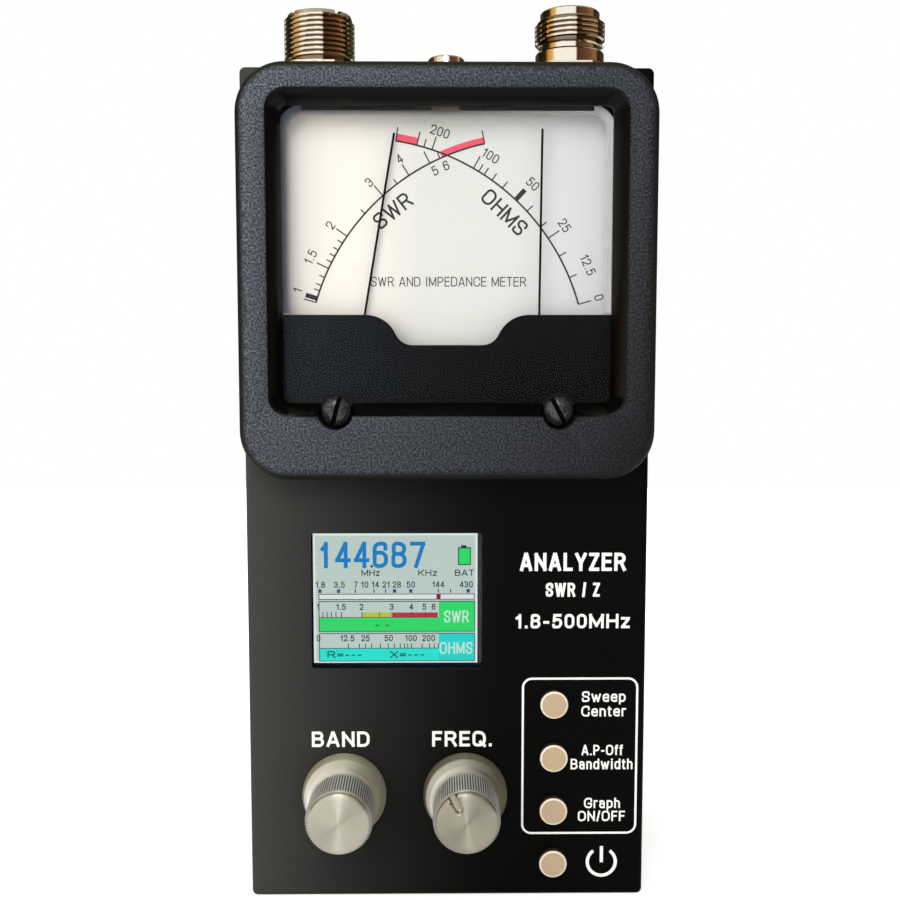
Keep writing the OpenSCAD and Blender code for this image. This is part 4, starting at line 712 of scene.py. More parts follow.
# the CAD's material slots; after its colours a finish has the size of its grain in mm, drawn coarse enough
# to show, then the least and the most roughness, and the height of the grain in mm
finishOf = {
    # sprayed and moulded: near black, with a soft wide highlight
    # case paint and navy ABS: front colours at left and right carry painted reflection at the left and
    # painted shade at the right, then the colour behind
    "case_paint": grainFinish("satin black lacquer on aluminium", ("393a39", "020202", "131314"),
                              ("424241", "040404", "202021"), 0.25, (0.4, 0.5), 0.004),
    "meter_plastic": grainFinish("dark navy ABS, moulded", ("23282e", "050607", "14161a"),
                                 ("262b31", "060708", "191c20"), 0.8, (0.5, 0.6), 0.0002),
    "black_plastic": grainFinish("black ABS, moulded", "141415", "1e1e20", 0.4, (0.4, 0.55), 0.006),
    "pointer_black": grainFinish("black lacquer on aluminium strip", "070707", "101010", 0.3, (0.4, 0.5),
                                 0.002, dull),
    "bezel_plastic": bezelPhenolic(grained),
    # blackened and ground: a dark metal sheen with fine specks
    "black_steel": grainFinish("blackened steel", "191919", "2e2d2b", 0.2, (0.28, 0.42), 0.006,
                               {"Metallic": 0.6}),
    "magnet_iron": grainFinish("magnet alloy, ground", "5b5d61", "85888d", 0.3, (0.35, 0.5), 0.006, metal),
    # turned and plated: clear highlights, sharper the brighter the plate
    "movement_brass": grainFinish("brass, turned", "9d7f3c", "c9ab5c", 0.3, (0.22, 0.36), 0.003, metal),
    "zinc_steel": grainFinish("steel, zinc-plated", "a4a7aa", "c9cccf", 0.8, (0.25, 0.4), 0.003, metal),
    "socket_nickel": grainFinish("bright nickel on brass", "d8cdb8", "e8dfcf", 0.6, (0.1, 0.18), 0.001,
                                 metal),
    "contact_gold": grainFinish("gold plate on brass", "b8893a", "d9b56a", 0.4, (0.15, 0.25), 0.001, metal),
    "knob_aluminium": knobFinish["band_knob"],
    "copper_coil": copperWire(),
    # glassy films and clear sheet: what lies under them shows through, or they mirror a little
    "display_glass": grainFinish("display glass, coated", "0a0e14", "101722", 1.5, (0.08, 0.14), 0.0005),
    "board_green": grainFinish("green solder mask on glass epoxy", "123f27", "1f6a40", 0.9, (0.25, 0.4),
                               0.01),
    "cell_jacket": grainFinish("printed steel jacket", "9c6a22", "b98735", 2.0, (0.25, 0.35), 0.002),
    "clear_pane": clearPane("clear acrylic, polished", "fefdfd"),
    "display_pane": clearPane("clear acrylic, thin", "fafcfd"),
    # pale and matt: soft shading, hardly a highlight
    "white_plastic": grainFinish("white fluoropolymer, turned", "e4ded0", "f3eee4", 0.5, (0.35, 0.5), 0.003),
    "dial_white": dialEnamel(enamel),
    "button_beige": buttonLacquer(*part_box("power_button"), button),
}

for part in record["subparts"]:
    data = nodes[part["node"]].data
    data.materials.clear()
    data.materials.append(knobFinish.get(part["node"], finishOf[part["material_slot"]]))
print("materials made:", len(finishOf))


copies = {
    "front_case": "frontCase", "rear_cover": "rearCover", "meter_bezel": "meterBezel",
    "swr_needle": "swrPointer", "ohms_needle": "ohmsPointer",
    "sweep_button": "sweepButton", "bandwidth_button": "bandwidthButton", "graph_button": "graphButton",
    "power_button": "powerButton", "band_knob": "bandKnob", "freq_knob": "freqKnob",
    "uhf_insulator": "uhfInsulator", "uhf_contact": "uhfContact", "n_insulator": "nInsulator",
    "n_contact": "nContact", "socket_washers": "socketWashers", "socket_nuts": "socketNuts",
    "dc_jack_shell": "jackShell", "dc_jack_base": "jackBase", "dc_jack_pin": "jackPin",
    "dc_jack_nut": "jackNut",
}
for node, name in copies.items():
    smoothCopy(node, name, nodes[node].data.materials[0])
print("smooth copies made:", len(copies))


# mm; both coaxial sockets: heights in the object, and radii from the socket's axis
socket = {
    "low": 167.0, "nutTop": 181.8, "flangeLow": 172.3, "flangeHigh": 174.8, "flange": 10.0,
    "major": 7.9375, "pitch": 1.058, "depth": 0.62,
}
uhf = {
    **socket, "rim": 193.4, "bore": 6.0, "groove": 7.3, "grooveTop": 182.4,
    "notches": 4, "notchWidth": 1.5, "notchDepth": 0.8, "notchTurn": 40,
    "threadDown": 10.9, "threadUp": 0.9,   # the thread's two ends, below the rim
}
nSocket = {
    **socket, "rim": 194.4, "bore": 4.25, "groove": 6.75, "grooveLong": 1.3, "rimHigh": 2.0, "rimRadius": 6.7,
    "threadLong": 5.6, "barrel": 7.75, "threadDown": 7.5, "threadUp": 2.1,
}


def shellFoot(s):
    # the profile that both sockets share, from the bore's lower end over the flange to the nut's top
    inside = s["major"] - 0.1
    return [(s["bore"], s["low"]), (inside, s["low"]), (inside, s["flangeLow"]),
            (s["flange"], s["flangeLow"]), (s["flange"], s["flangeHigh"]), (inside, s["flangeHigh"]),
            (inside, s["nutTop"])]


def uhfShell(s):
    # UHF socket shell: threaded outside, its rim notched for the plug's teeth
    core, rim = s["major"] - s["depth"], s["rim"]
    bm = bmesh.new()
    addLathe(bm, shellFoot(s) + [
        (s["groove"], s["nutTop"]), (s["groove"], s["grooveTop"]), (core, s["grooveTop"]), (core, rim - 1.3),
        (core + 0.1, rim - 1.1), (core - 0.15, rim - 0.15), (core - 0.35, rim), (s["bore"] + 0.25, rim),
        (s["bore"], rim - 0.25), (s["bore"], s["low"])])
    cutter = bmesh.new()
    for i in range(s["notches"]):
        place = (turnBy(s["notchTurn"] + i * 360 / s["notches"], "Z")
                 @ Matrix.Translation((0, -core * mm, rim * mm)))
        addBox(cutter, place, s["notchWidth"], 4, 2 * s["notchDepth"])
    bm = cutBy(bm, cutter)
    addThread(bm, core, s["major"], s["pitch"], s["grooveTop"], rim - 0.7)
    return bm


def nShell(s):
    # N socket shell: plain rim, five turns of thread, a groove and a polished barrel
    core, rim, ring = s["major"] - s["depth"], s["rim"], s["rimRadius"]
    threadTop = rim - s["rimHigh"]
    threadLow = threadTop - s["threadLong"]
    grooveLow = threadLow - s["grooveLong"]
    bm = bmesh.new()
    addLathe(bm, shellFoot(s) + [
        (s["barrel"], s["nutTop"] + 0.02), (s["barrel"], grooveLow - 0.5),
        (s["barrel"] - 0.35, grooveLow - 0.1), (s["groove"], grooveLow), (s["groove"], threadLow - 0.2),
        (s["groove"] + 0.15, threadLow), (core, threadLow + 0.1), (core, threadTop - 0.3),
        (ring + 0.25, threadTop), (ring, threadTop + 0.15), (ring, rim - 0.35), (ring - 0.35, rim),
        (s["bore"] + 0.5, rim), (s["bore"], rim - 0.5), (s["bore"], s["low"])])
    addThread(bm, core, s["major"], s["pitch"], threadLow, threadTop)
    return bm


def threadedNickel(name, centre, low, high):
    # bright nickel mirrors the room; its thread, between low and high, is painted darker down in its grooves,
    # painted shade
    made, tree, shader = startMaterial(name, metal)
    place = objectPlace(tree, centre)
    radius = awayFrom(tree, place, (1, 1, 0))[1]
    height = addNode(tree, "SeparateXYZ", {}, {0: place}).outputs["Z"]
    grooveShade = addNode(tree, "MapRange", {1: 7.48 * mm, 2: 7.34 * mm}, {0: radius})
    for value, start, end in ((height, low - 0.1, low), (height, high + 0.1, high), (radius, 6.2, 6.4)):
        limit = addNode(tree, "MapRange", {1: start * mm, 2: end * mm}, {0: value})
        grooveShade = addNode(tree, "Math", {"operation": "MULTIPLY"}, {0: grooveShade, 1: limit})
    noise = addNode(tree, "TexNoise", {"Scale": perMetre(0.6), "Detail": 3.0}, {"Vector": place})
    colour = blendColours(tree, grooveShade, blendColours(tree, noise, "ded4c2", "f0e8da"), "857660")
    coverSurface(tree, shader, colour, noise, (0.03, 0.08), 0.001)
    return made


shells = (("uhf_shell", "uhfShell", uhfShell, uhf), ("n_shell", "nShell", nShell, nSocket))
for node, name, make, sizes in shells:
    low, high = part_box(node)
    shell = make(sizes)
    centre = ((low.x + high.x) / 2, (low.y + high.y) / 2, 0)
    moveBm(shell, Matrix.Translation(centre))
    finish = threadedNickel("bright nickel, " + node.split("_")[0] + " thread", centre,
                            sizes["rim"] - sizes["threadDown"], sizes["rim"] - sizes["threadUp"])
    toObject(shell, name, finish, "case", 25, (node,))
print("sockets made")


meterScrew = {"head": 3.05, "dome": 1.3, "edge": 0.6, "shank": 1.4, "slot": 0.95, "deep": 1.15, "curve": 6,
              "leans": (15, -27)}   # degrees that the slots lean clockwise, as the viewer sees them


def addMeterScrew(bm, s, x, z, low, high, lean):
    # round-headed slotted screw
    screw = bmesh.new()
    bends = [math.radians(90 * i / s["curve"]) for i in range(s["curve"] + 1)]
    arc = [(s["head"] * math.sin(bend), -s["dome"] * (1 - math.cos(bend))) for bend in bends]
    under, end = -s["dome"] - s["edge"], (low.y - high.y) / mm
    addLathe(screw, arc + [(s["head"], under), (s["shank"], under), (s["shank"], end), (0, end)], 64)
    cutter = bmesh.new()
    addBox(cutter, turnBy(-lean, "Z"), s["slot"], 3 * s["head"], 2 * s["deep"])
    screw = cutBy(screw, cutter)
    moveBm(screw, Matrix.Translation((x, low.y, z)) @ turnBy(90, "X"))
    joinInto(bm, screw)


low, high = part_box("meter_screws")
inset = meterScrew["head"] * mm
slots = list(zip((low.x + inset, high.x - inset), meterScrew["leans"]))
slotZ, slotFront = high.z - inset, low.y
bm = bmesh.new()
for x, lean in slots:
    addMeterScrew(bm, meterScrew, x, slotZ, low, high, lean)


def inSlot(face, s):
    # a face of a slot's floor or walls: as far from the slot's middle line as its half width, or less
    x, lean = min(slots, key=lambda slot: abs(face.center.x - slot[0]))
    across = Vector((math.cos(math.radians(lean)), -math.sin(math.radians(lean))))
    off = abs(across.dot(Vector((face.center.x - x, face.center.z - slotZ)))) / mm
    depth = (face.center.y - slotFront) / mm
    wall = abs(abs(face.normal.x * across.x + face.normal.z * across.y) - 1) < 0.01
    return off < s["slot"] / 2 + 0.01 and depth < s["deep"] + 0.01 and (wall or depth > s["deep"] - 0.01)


screwBlack = grainFinish("blackened steel, oiled", "2b2c2d", "4a4b4c", 0.5, (0.2, 0.32), 0.006,
                         {"Metallic": 0.6})
# painted shadow: the slot's floor and walls get a near-black finish
slotShade = grainFinish("painted shadow in a slot", "020202", "040404", 0.3, (0.6, 0.8), 0.001, dull)
screws = toObject(bm, "meterScrews", screwBlack, "case", 30, ("meter_screws",))
screws.data.materials.append(slotShade)
for face in screws.data.polygons:
    if inSlot(face, meterScrew):
        face.material_index = 1
print("meter screws made")


caseScrew = {"head": 2.7, "sheet": 1.2, "shank": 1.5, "long": 6.0, "arm": 3.0, "foot": 0.45, "slot": 0.55,
             "deep": 0.9, "turn": 20}


def addCaseScrew(bm, s, x, backY, z):
    # countersunk screw with a cross recess, flush with the rear cover
    screw = bmesh.new()
    addLathe(screw, [(0, 0), (s["head"] - 0.12, 0), (s["head"], -0.1), (s["shank"], -s["sheet"]),
                     (s["shank"], 0.3 - s["long"]), (s["shank"] - 0.3, -s["long"]), (0, -s["long"])], 48)
    for turn in (s["turn"], s["turn"] + 90):
        cutter = bmesh.new()
        place = turnBy(turn, "Z")
        addBox(cutter, place, s["arm"], s["slot"], 2 * s["deep"], s["foot"])
        screw = cutBy(screw, cutter)
    moveBm(screw, Matrix.Translation((x, backY, z)) @ turnBy(-90, "X"))
    joinInto(bm, screw)


low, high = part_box("case_screws")
inset = caseScrew["head"] * mm
bm = bmesh.new()
for x in (low.x + inset, high.x - inset):
    for z in (low.z + inset, high.z - inset):
        addCaseScrew(bm, caseScrew, x, high.y, z)
coverSteel = grainFinish("steel, black phosphate", "3c3c3b", "5e5d5a", 0.3, (0.3, 0.42), 0.004,
                         {"Metallic": 0.7})
toObject(bm, "caseScrews", coverSteel, "case", 30, ("case_screws",))
print("case screws made")


dial = {
    "radius": 46.9,       # mm from each scale's centre to its line
    "line": 0.36,         # width of the scale line
    "tick": 0.26,
    "film": 0.03,         # thickness of the ink
    "height": 115.0,      # height of both scales' centres
    "plate": 0.8,         # thickness of the dial
    "cap": 1.95,          # height of the numbers
}
# angles in degrees clockwise from upright; a tick's reach, a number's reach and a red zone's width in mm
ohms = {
    "x": -17.6, "arc": (8.6, 74.0), "zone": (8.8, 14.0), "zoneWide": 1.5, "zoneSteps": 12,
    "ticks": {49.7: (8.6, 14.0, 18.0, 29.45, 55.5, 74.0),
              48.6: (15.85, 31.0, 32.6, 35.0, 38.3, 46.8, 52.0, 60.8, 66.8)},
    "bold": (42.75, 49.7, 1.0),
    "numbers": (("200", 18.5, 50.9), ("100", 31.5, 50.9), ("50", 43.2, 51.7), ("25", 55.2, 51.2),
                ("12.5", 65.8, 51.5), ("0", 73.8, 51.4)),
}
swr = {
    "x": 17.6, "arc": (-73.55, -12.1), "zone": (-23.4, -12.2), "zoneWide": 1.3, "zoneSteps": 24,
    "ticks": {49.6: (-12.1, -26.85, -32.9, -41.25, -54.95, -64.35, -73.55),
              48.1: (-24.0, -36.6, -47.6, -57.05, -59.1, -60.9, -62.6, -66.85, -69.05, -70.45)},
    "bold": (-72.5, 49.4, 0.95),
    "numbers": (("1", -72.1, 51.3), ("1.5", -63.8, 51.3), ("2", -55.1, 51.0), ("3", -41.6, 50.8),
                ("4", -32.7, 50.8), ("5", -26.5, 45.1), ("6", -23.3, 45.1)),
}
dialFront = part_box("meter_dial")[1].y / mm - dial["plate"]


def drawScale(bm, red, d, s):
    centre, r = (s["x"], d["height"]), d["radius"]

    def onScale(angle, reach):
        turned = math.radians(angle)
        return centre[0] + reach * math.sin(turned), centre[1] + reach * math.cos(turned)

    addSector(bm, centre, r - d["line"] / 2, r + d["line"] / 2, *s["arc"], dialFront, d["film"])
    addSector(red, centre, r + 0.15, r + s["zoneWide"], *s["zone"], dialFront, d["film"] * 0.8,
              s["zoneSteps"])
    ticks = [(angle, outer, d["tick"]) for outer, angles in s["ticks"].items() for angle in angles]
    for angle, outer, width in ticks + [s["bold"]]:
        addBlock(bm, *onScale(angle, (r + outer) / 2), width, outer - r, dialFront, d["film"], angle)
    for text, angle, reach in s["numbers"]:
        addLetters(bm, text, d["cap"], *onScale(angle, reach), dialFront, d["film"], turn=angle)


inkBlack = printedInk("black screen ink", "131313")
inkRed = printedInk("red screen ink", "e04a64")
black, red = bmesh.new(), bmesh.new()
drawScale(black, red, dial, ohms)
drawScale(black, red, dial, swr)
addLetters(black, "SWR", 3.3, -11.3, 147.2, dialFront, dial["film"], 0.135, 8.8, -38)
addLetters(black, "OHMS", 3.3, 11.9, 146.9, dialFront, dial["film"], 0.135, 11.2, 44)
addLetters(black, "SWR AND IMPEDANCE METER", 2.0, 0.3, 132.6, dialFront, dial["film"], 0.1, 32.4)
black = joinOverlaps(black)
closeUp(red)
toObject(black, "dialPrint", inkBlack, "case")
toObject(red, "dialRedZones", inkRed, "case")
print("dial printed")


windowEdge = {
    "width": 68.8, "height": 61.4, "radius": 5.5, "band": 2.6, "middle": 137.3, "film": 0.1,
    "bottom": 126.0, "beyond": 1.5,
    # painted light: blue-grey painted shade at the left, brownish painted shade at the top middle, a white
    # painted highlight at the right, near-black painted shade past the outline
    "left": "5e6978", "centre": "5d5854", "right": "e3e8ea", "outside": "08080a",
}


def paintedEdgeShading(w):
    # the clear cover's side wall, seen through its front, with painted shade and a painted highlight that
    # thicken towards the edge
    made, tree = emptyMaterial("the cover's side wall, with painted shade and highlight")
    place = objectPlace(tree, (0, 0, w["middle"] * mm))
    outwards = pastOutline(tree, place, w["width"], w["height"], w["radius"])
    paintedShare = addNode(tree, "MapRange", {"interpolation_type": "SMOOTHSTEP", 4: 0.8,
                                        1: (w["radius"] - w["band"]) * mm, 2: (w["radius"] - 0.6) * mm},
                     {0: outwards})
    hue = addNode(tree, "ValToRGB", {}, {0: along(tree, place, "X", -0.042, 0.042)})
    stops = hue.color_ramp.elements
    stops.new(0.5)
    for stop, side in zip(stops, ("left", "centre", "right")):
        stop.color = linear(w[side])
    outside = addNode(tree, "MapRange", {1: (w["radius"] - 0.1) * mm, 2: (w["radius"] + 0.1) * mm},
                      {0: outwards})
    shade = addNode(tree, "Math", {"operation": "MAXIMUM"}, {0: paintedShare, 1: outside})
    clear = addNode(tree, "BsdfTransparent")
    paintedWall = addNode(tree, "BsdfDiffuse", {}, {"Color": blendColours(tree, outside, hue, w["outside"])})
    both = addNode(tree, "MixShader", {}, {0: shade, 1: clear, 2: paintedWall})
    addNode(tree, "OutputMaterial", {}, {"Surface": both})
    return made


def addWindowEdge(bm, w, y):
    # a band round the window just in front of the pane's back, open at the mask
    wide, high = w["width"] + 2 * w["beyond"], w["height"] + 2 * w["beyond"]
    addRoundedPlate(bm, 0, w["middle"], wide, high, w["radius"], y, w["film"], w["band"] + w["beyond"])
    below = bmesh.ops.bisect_plane(bm, geom=bm.verts[:] + bm.edges[:] + bm.faces[:],
                                   plane_co=(0, 0, w["bottom"] * mm), plane_no=(0, 0, -1), clear_outer=True)
    bmesh.ops.holes_fill(bm, edges=[e for e in below["geom_cut"] if isinstance(e, bmesh.types.BMEdge)])


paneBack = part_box("meter_window")[1].y / mm
bm = bmesh.new()
addWindowEdge(bm, windowEdge, paneBack + 2 * windowEdge["film"])
toObject(bm, "windowEdge", paintedEdgeShading(windowEdge), "case")

# two open slots in the cover's top wall, drawn as black strips of painted shade, each from its left to its
# right end
coverSlots = {"ends": ((-29.6, -3.2), (2.4, 29.8)), "height": 167.1, "wide": 0.9, "film": 0.04,
              "behind": 0.09}
bm = bmesh.new()
for left, right in coverSlots["ends"]:
    addBlock(bm, (left + right) / 2, coverSlots["height"], right - left, coverSlots["wide"],
             paneBack + coverSlots["behind"], coverSlots["film"])
toObject(bm, "coverSlots", printedInk("painted shade of an open slot", "050505"), "case")

# the pane's back stands this many mm clear of the mask's front
paneGap = 0.06
bm = bmesh.new()
bm.from_mesh(nodes["meter_window"].data)
closeUp(bm)
for v in bm.verts:
    if v.co.y > (paneBack - 0.01) * mm:
        v.co.y -= paneGap * mm
weighNormals(toObject(bm, "meterWindow", finishOf["clear_pane"], "case", 30, ("meter_window",)))
print("window made")


display = {
    "left": -28.7, "top": 79.4, "width": 35.2, "height": 28.2,
    "step": 0.02,      # mm between the picture's layers
}
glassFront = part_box("lcd_glass")[0].y / mm
layers = {}


def layer(name):
    return layers.setdefault(name, bmesh.new())


def showBlock(group, level, x0, x1, z0, z1):
    # a filled area, measured from the picture's upper left corner
    addBlock(layer(group), display["left"] + (x0 + x1) / 2, display["top"] - (z0 + z1) / 2, x1 - x0, z1 - z0,
             glassFront, display["step"] * level)


def showText(group, level, text, cap, x, z, width=None, stroke=0.15):
    addLetters(layer(group), text, cap, display["left"] + x, display["top"] - z,
               glassFront, display["step"] * level, stroke, width)


def showFrame(group, level, x0, x1, z0, z1, line=0.16):
    for a0, a1, b0, b1 in ((x0, x1, z0, z0 + line), (x0, x1, z1 - line, z1), (x0, x0 + line, z0, z1),
                           (x1 - line, x1, z0, z1)):
        showBlock(group, level, a0, a1, b0, b1)


def showTicks(group, level, places, z0, z1, wide=0.18):
    for x in places:
        showBlock(group, level, x - wide / 2, x + wide / 2, z0, z1)


def drawDisplay():
    showBlock("White", 1, 0, display["width"], 0, display["height"])
    showBlock("Field", 2, 0.5, display["width"] - 0.5, 0.5, display["height"] - 0.5)
    # reading, battery and units
    for i, digit in enumerate("144687"):
        showText("Blue", 3, digit, 5.7, 2.4 + 4.0 * i, 4.65, 1.9 if digit == "1" else 3.3)
    showBlock("Black", 4, 12.3, 12.8, 6.9, 7.4)
    showBlock("Black", 3, 31.7, 32.8, 2.6, 3.1)
    showBlock("DarkGreen", 3, 31.0, 33.8, 3.0, 6.9)
    showBlock("Green", 4, 31.25, 33.55, 3.25, 6.65)
    for text, x, width in (("MHz", 12.3, 3.9), ("KHz", 24.5, 4.0), ("BAT", 32.4, 4.1)):
        showText("Grey", 3, text, 1.35, x, 8.55, width)
    # band row
    for text, x in (("1.8", 1.5), ("3.5", 5.6), ("7", 9.1), ("10", 11.0), ("14", 13.3), ("21", 15.6),
                    ("28", 17.9), ("50", 20.9), ("144", 26.8), ("430", 32.8)):
        showText("Grey", 3, text, 1.35, x, 11.1)
    showTicks("Navy", 3, (1.4, 5.4, 17.4, 20.9, 33.2), 12.1, 12.9, 0.7)
    showTicks("Navy", 3, (9.0, 13.0, 15.5, 26.8, 29.4), 12.1, 12.9, 0.25)
    showBlock("White", 3, 1.1, 34.6, 13.1, 14.4)
    showFrame("Grey", 4, 1.1, 34.6, 13.1, 14.4)
    showBlock("Maroon", 5, 26.4, 27.3, 13.1, 14.4)
    # SWR row
    showBlock("Green", 3, 26.9, 34.6, 14.8, 21.3)
    showBlock("Green", 3, 1.2, 26.9, 18.4, 21.3)
    showFrame("Grey", 4, 1.1, 34.7, 14.7, 21.4)
    for text, x in (("1", 1.0), ("1.5", 5.9), ("2", 10.3), ("3", 16.8), ("4", 21.0), ("5", 23.8),
                    ("6", 25.8)):
        showText("Grey", 4, text, 1.35, x, 15.95)
    showTicks("Grey", 4, (2.0, 2.9, 3.8, 4.8, 6.0, 10.4), 17.1, 18.3)
    showBlock("Yellow", 4, 10.5, 16.7, 17.2, 18.2)
    showBlock("Red", 4, 16.9, 26.6, 17.2, 18.2)
    showTicks("Grey", 5, (14.1, 16.8, 21.1, 24.0, 26.6), 17.1, 18.3, 0.12)
    showBlock("Grey", 4, 1.2, 26.8, 18.2, 18.35)
    showText("Grey", 5, "- -", 1.4, 14.7, 19.9, 3.0)
    showText("Pale", 4, "SWR", 2.6, 30.7, 18.1, 5.3, 0.13)
    # OHMS row
    showBlock("Teal", 3, 26.9, 34.6, 21.8, 27.8)
    showBlock("Cyan", 3, 1.2, 26.9, 25.1, 27.8)
    showFrame("Grey", 4, 1.1, 34.7, 21.7, 27.9)
    for text, x in (("0", 1.0), ("12.5", 7.2), ("25", 11.1), ("50", 16.1), ("100", 20.9), ("200", 24.7)):
        showText("Grey", 4, text, 1.35, x, 22.8)
    showTicks("Grey", 4, (7.4, 9.8, 11.1, 12.4, 14.3, 16.0, 17.3, 18.6, 19.5, 20.2, 21.0, 23.3, 24.9, 25.9,
                          26.8), 24.0, 24.95)
    showBlock("Grey", 4, 1.2, 26.8, 24.95, 25.1)
    showText("Grey", 5, "R=---", 1.5, 6.6, 26.4, 7.4)
    showText("Grey", 5, "X=---", 1.5, 20.1, 26.4, 7.4)
    showText("Pale", 4, "OHMS", 2.6, 30.6, 25.0, 7.1, 0.13)


displayColours = {
    "White": "f6faf8", "Field": "cfe0d6", "Blue": "0688d0", "Black": "101010", "DarkGreen": "1c6b3c",
    "Green": "2dec72", "Grey": "20282b", "Navy": "2a4c86", "Maroon": "8e2248", "Yellow": "cfd23c",
    "Red": "c93340", "Pale": "d8fbe6", "Teal": "1fe6dc", "Cyan": "28f7e2",
}
drawDisplay()
for name, bm in layers.items():
    bm = joinOverlaps(bm)
    ink = litColour("lit display, " + name.lower(), displayColours[name])
    toObject(bm, "display" + name, ink, "case")
print("display drawn:", len(layers), "colours")


legend = {"film": 0.04, "line": 0.45, "bold": 0.18, "fine": 0.155}
panelMm = panelY / mm
white = bmesh.new()
for text, cap, x, z, width in (
        ("ANALYZER", 3.9, 26.7, 73.6, 22.5), ("SWR / Z", 3.0, 26.7, 67.6, 11.5),
        ("1.8-500MHz", 3.1, 26.7, 60.8, 24.5), ("BAND", 3.4, -22.9, 35.1, 12.4),
        ("FREQ.", 3.4, 3.2, 35.1, 12.9), ("Sweep", 2.35, 33.6, 44.3, 9.4), ("Center", 2.35, 33.6, 41.1, 9.6),
        ("A.P-Off", 2.3, 33.4, 32.5, 8.9), ("Bandwidth", 2.35, 33.3, 29.4, 13.4),
        ("Graph", 2.3, 33.5, 20.7, 7.8), ("ON/OFF", 2.3, 33.4, 17.8, 10.2)):
    stroke = legend["bold"] if cap > 2.5 else legend["fine"]
    addLetters(white, text, cap, x, z, panelMm, legend["film"], stroke, width)
addRoundedPlate(white, 28.5, 31.15, 25.0, 34.7, 2.2, panelMm, legend["film"], legend["line"])
addSector(white, (33.5, 7.5), 2.7, 3.4, 36, 324, panelMm, legend["film"])
addBlock(white, 33.5, 9.2, 0.7, 3.6, panelMm, legend["film"])
white = joinOverlaps(white)
inkWhite = printedInk("white screen ink", "f4f5f3")
toObject(white, "panelLegends", inkWhite, "case")
print("legends printed")


def seenDirectly(tree):
    # 1 where the camera looks, also through a pane, 0 where light only falls or is mirrored
    path = addNode(tree, "LightPath")
    return addNode(tree, "Math", {"operation": "MAXIMUM"},
                   {0: path.outputs["Is Camera Ray"], 1: path.outputs["Is Transmission Ray"]})


def makeFloor():
    # a flat sheet of pale paper that glows white for the camera, less so under the object
    bm = bmesh.new()
    bmesh.ops.create_grid(bm, x_segments=1, y_segments=1, size=0.7)
    floor = addObject("floor", meshFrom(bm, "floor"))
    made, tree = emptyMaterial("pale paper sweep")
    paper = addNode(tree, "BsdfDiffuse", {"Color": linear("f2f2f0")})
    away = addNode(tree, "VectorMath", {"operation": "LENGTH"}, {0: objectPlace(tree)})
    far = addNode(tree, "MapRange", {1: 0.06, 2: 0.22, 3: 0.5, 4: 1.0}, {0: away.outputs["Value"]})
    lift = addNode(tree, "Math", {"operation": "MULTIPLY"}, {0: seenDirectly(tree), 1: far})
    glow = addNode(tree, "Emission", {"Color": linear("ffffff")}, {"Strength": lift})
    both = addNode(tree, "AddShader", {}, {0: paper, 1: glow})
    addNode(tree, "OutputMaterial", {}, {"Surface": both})
    floor.data.materials.append(made)
    floor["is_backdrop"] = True


room = {
    "soft": "f2f0ed", "softStrength": 0.72,
    # what polished metal mirrors, by the direction round the object in degrees; 0 is the camera's side
    "mirror": ((-180, "4a4434"), (-150, "4a4434"), (-124, "1c120b"), (-92, "3b2413"), (-84, "c08a3a"),
               (-64, "e8c27e"), (-57, "ffffff"), (14, "ffffff"), (19, "4a2f20"), (60, "6b4a34"),
               (88, "8c6a4a"), (104, "2a1c12"), (150, "4a4434"), (180, "4a4434")),
    "mirrorStrength": 1.15, "ceiling": "a8aa93",
}


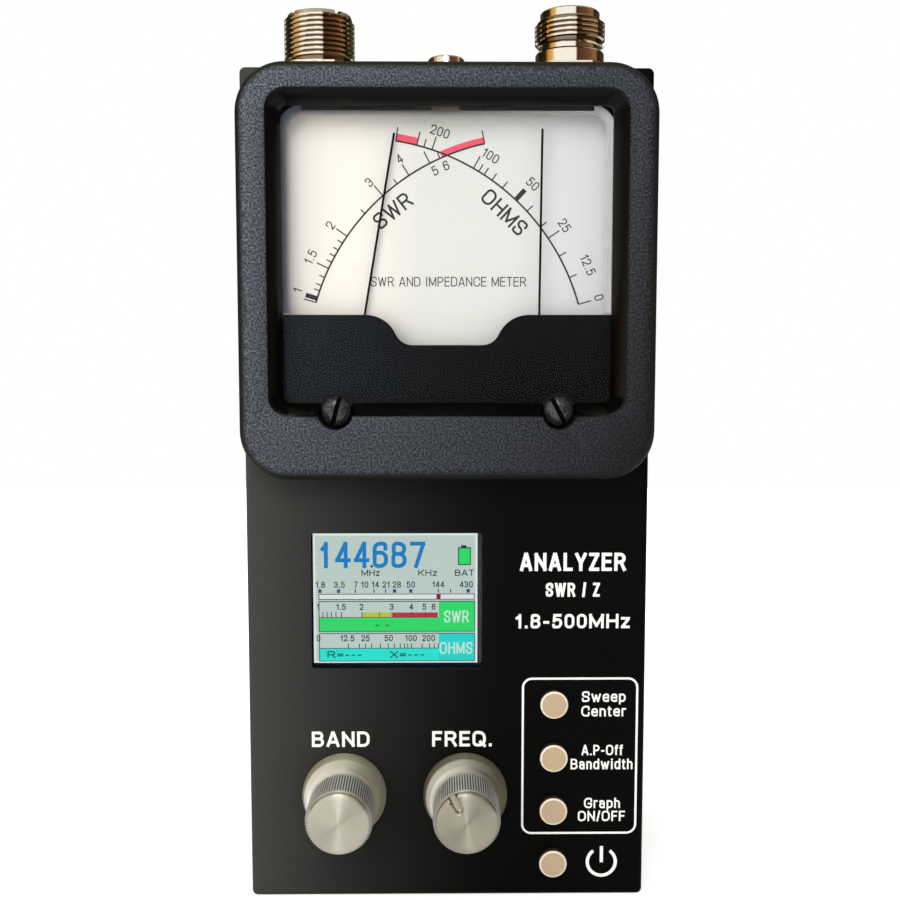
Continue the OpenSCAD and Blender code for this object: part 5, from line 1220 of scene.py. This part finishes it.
def makeWorld(r):
    world = bpy.data.worlds.new("softRoom")
    bpy.context.scene.world = world
    world.use_nodes = True
    tree = world.node_tree
    tree.nodes.clear()
    coords = addNode(tree, "TexCoord")
    parts = addNode(tree, "SeparateXYZ", {}, {0: coords.outputs["Generated"]})
    ahead = addNode(tree, "Math", {"operation": "MULTIPLY", 1: -1.0}, {0: parts.outputs["Y"]})
    around = addNode(tree, "Math", {"operation": "ARCTAN2"}, {0: parts.outputs["X"], 1: ahead})
    share = addNode(tree, "MapRange", {1: -math.pi, 2: math.pi}, {0: around})
    ramp = addNode(tree, "ValToRGB", {}, {0: share})
    stops = ramp.color_ramp.elements
    while len(stops) < len(r["mirror"]):
        stops.new(0.5)
    for stop, (angle, colour) in zip(stops, r["mirror"]):
        stop.position = angle / 360 + 0.5
        stop.color = linear(colour)
    above = addNode(tree, "MapRange", {1: 0.4, 2: 0.75}, {0: parts.outputs["Z"]})
    mirror = addNode(tree, "Background", {"Strength": r["mirrorStrength"]},
                     {"Color": blendColours(tree, above, ramp, r["ceiling"])})
    soft = addNode(tree, "Background", {"Color": linear(r["soft"]), "Strength": r["softStrength"]})
    plain = addNode(tree, "Background", {"Color": (1, 1, 1, 1), "Strength": 1.0})
    path = addNode(tree, "LightPath")
    lit = addNode(tree, "MixShader", {}, {0: path.outputs["Is Glossy Ray"], 1: soft, 2: mirror})
    every = addNode(tree, "MixShader", {}, {0: seenDirectly(tree), 1: lit, 2: plain})
    addNode(tree, "OutputWorld", {}, {"Surface": every})


lamps = (
    # name, place, width, height, power, colour, seen in polished metal
    ("windowLight", (-0.32, -0.42, 0.25), 0.35, 0.45, 1.7, "fff8f0", False),
    ("ceilingLight", (-0.08, -0.75, 0.62), 0.3, 0.3, 2.2, "ffffff", True),
    ("fillLight", (0.7, -0.6, 0.35), 0.6, 0.6, 0.8, "f2f5ff", False),
)


def makeLamps():
    aim = Vector((0, 0, 0.1))
    for name, place, width, height, power, colour, mirrored in lamps:
        data = bpy.data.lights.new(name, "AREA")
        data.shape = "RECTANGLE"
        data.size, data.size_y = width, height
        data.energy = power
        data.color = linear(colour)[:3]
        lamp = addObject(name, data)
        lamp.location = place
        lamp.visible_glossy = mirrored
        lamp.rotation_euler = (aim - Vector(place)).to_track_quat("-Z", "Y").to_euler()


camera = {"place": (-0.0018, -0.2564, 0.1180), "tilt": -5.07, "turn": -0.59, "lens": 44.22}


def makeCamera(c):
    data = bpy.data.cameras.new("camera")
    data.sensor_width = 36.0
    data.lens = c["lens"]
    data.clip_start = 0.01
    made = addObject("camera", data)
    made.location = c["place"]
    made.rotation_euler = (math.radians(90 + c["tilt"]), 0, math.radians(c["turn"]))
    bpy.context.scene.camera = made


makeFloor()
makeWorld(room)
makeLamps()
makeCamera(camera)
bpy.context.scene.view_settings.view_transform = "Standard"

sizes = {"cad": [list(corner) for corner in cadBox], "visual": [list(corner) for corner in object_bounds()]}
print("scene finished")
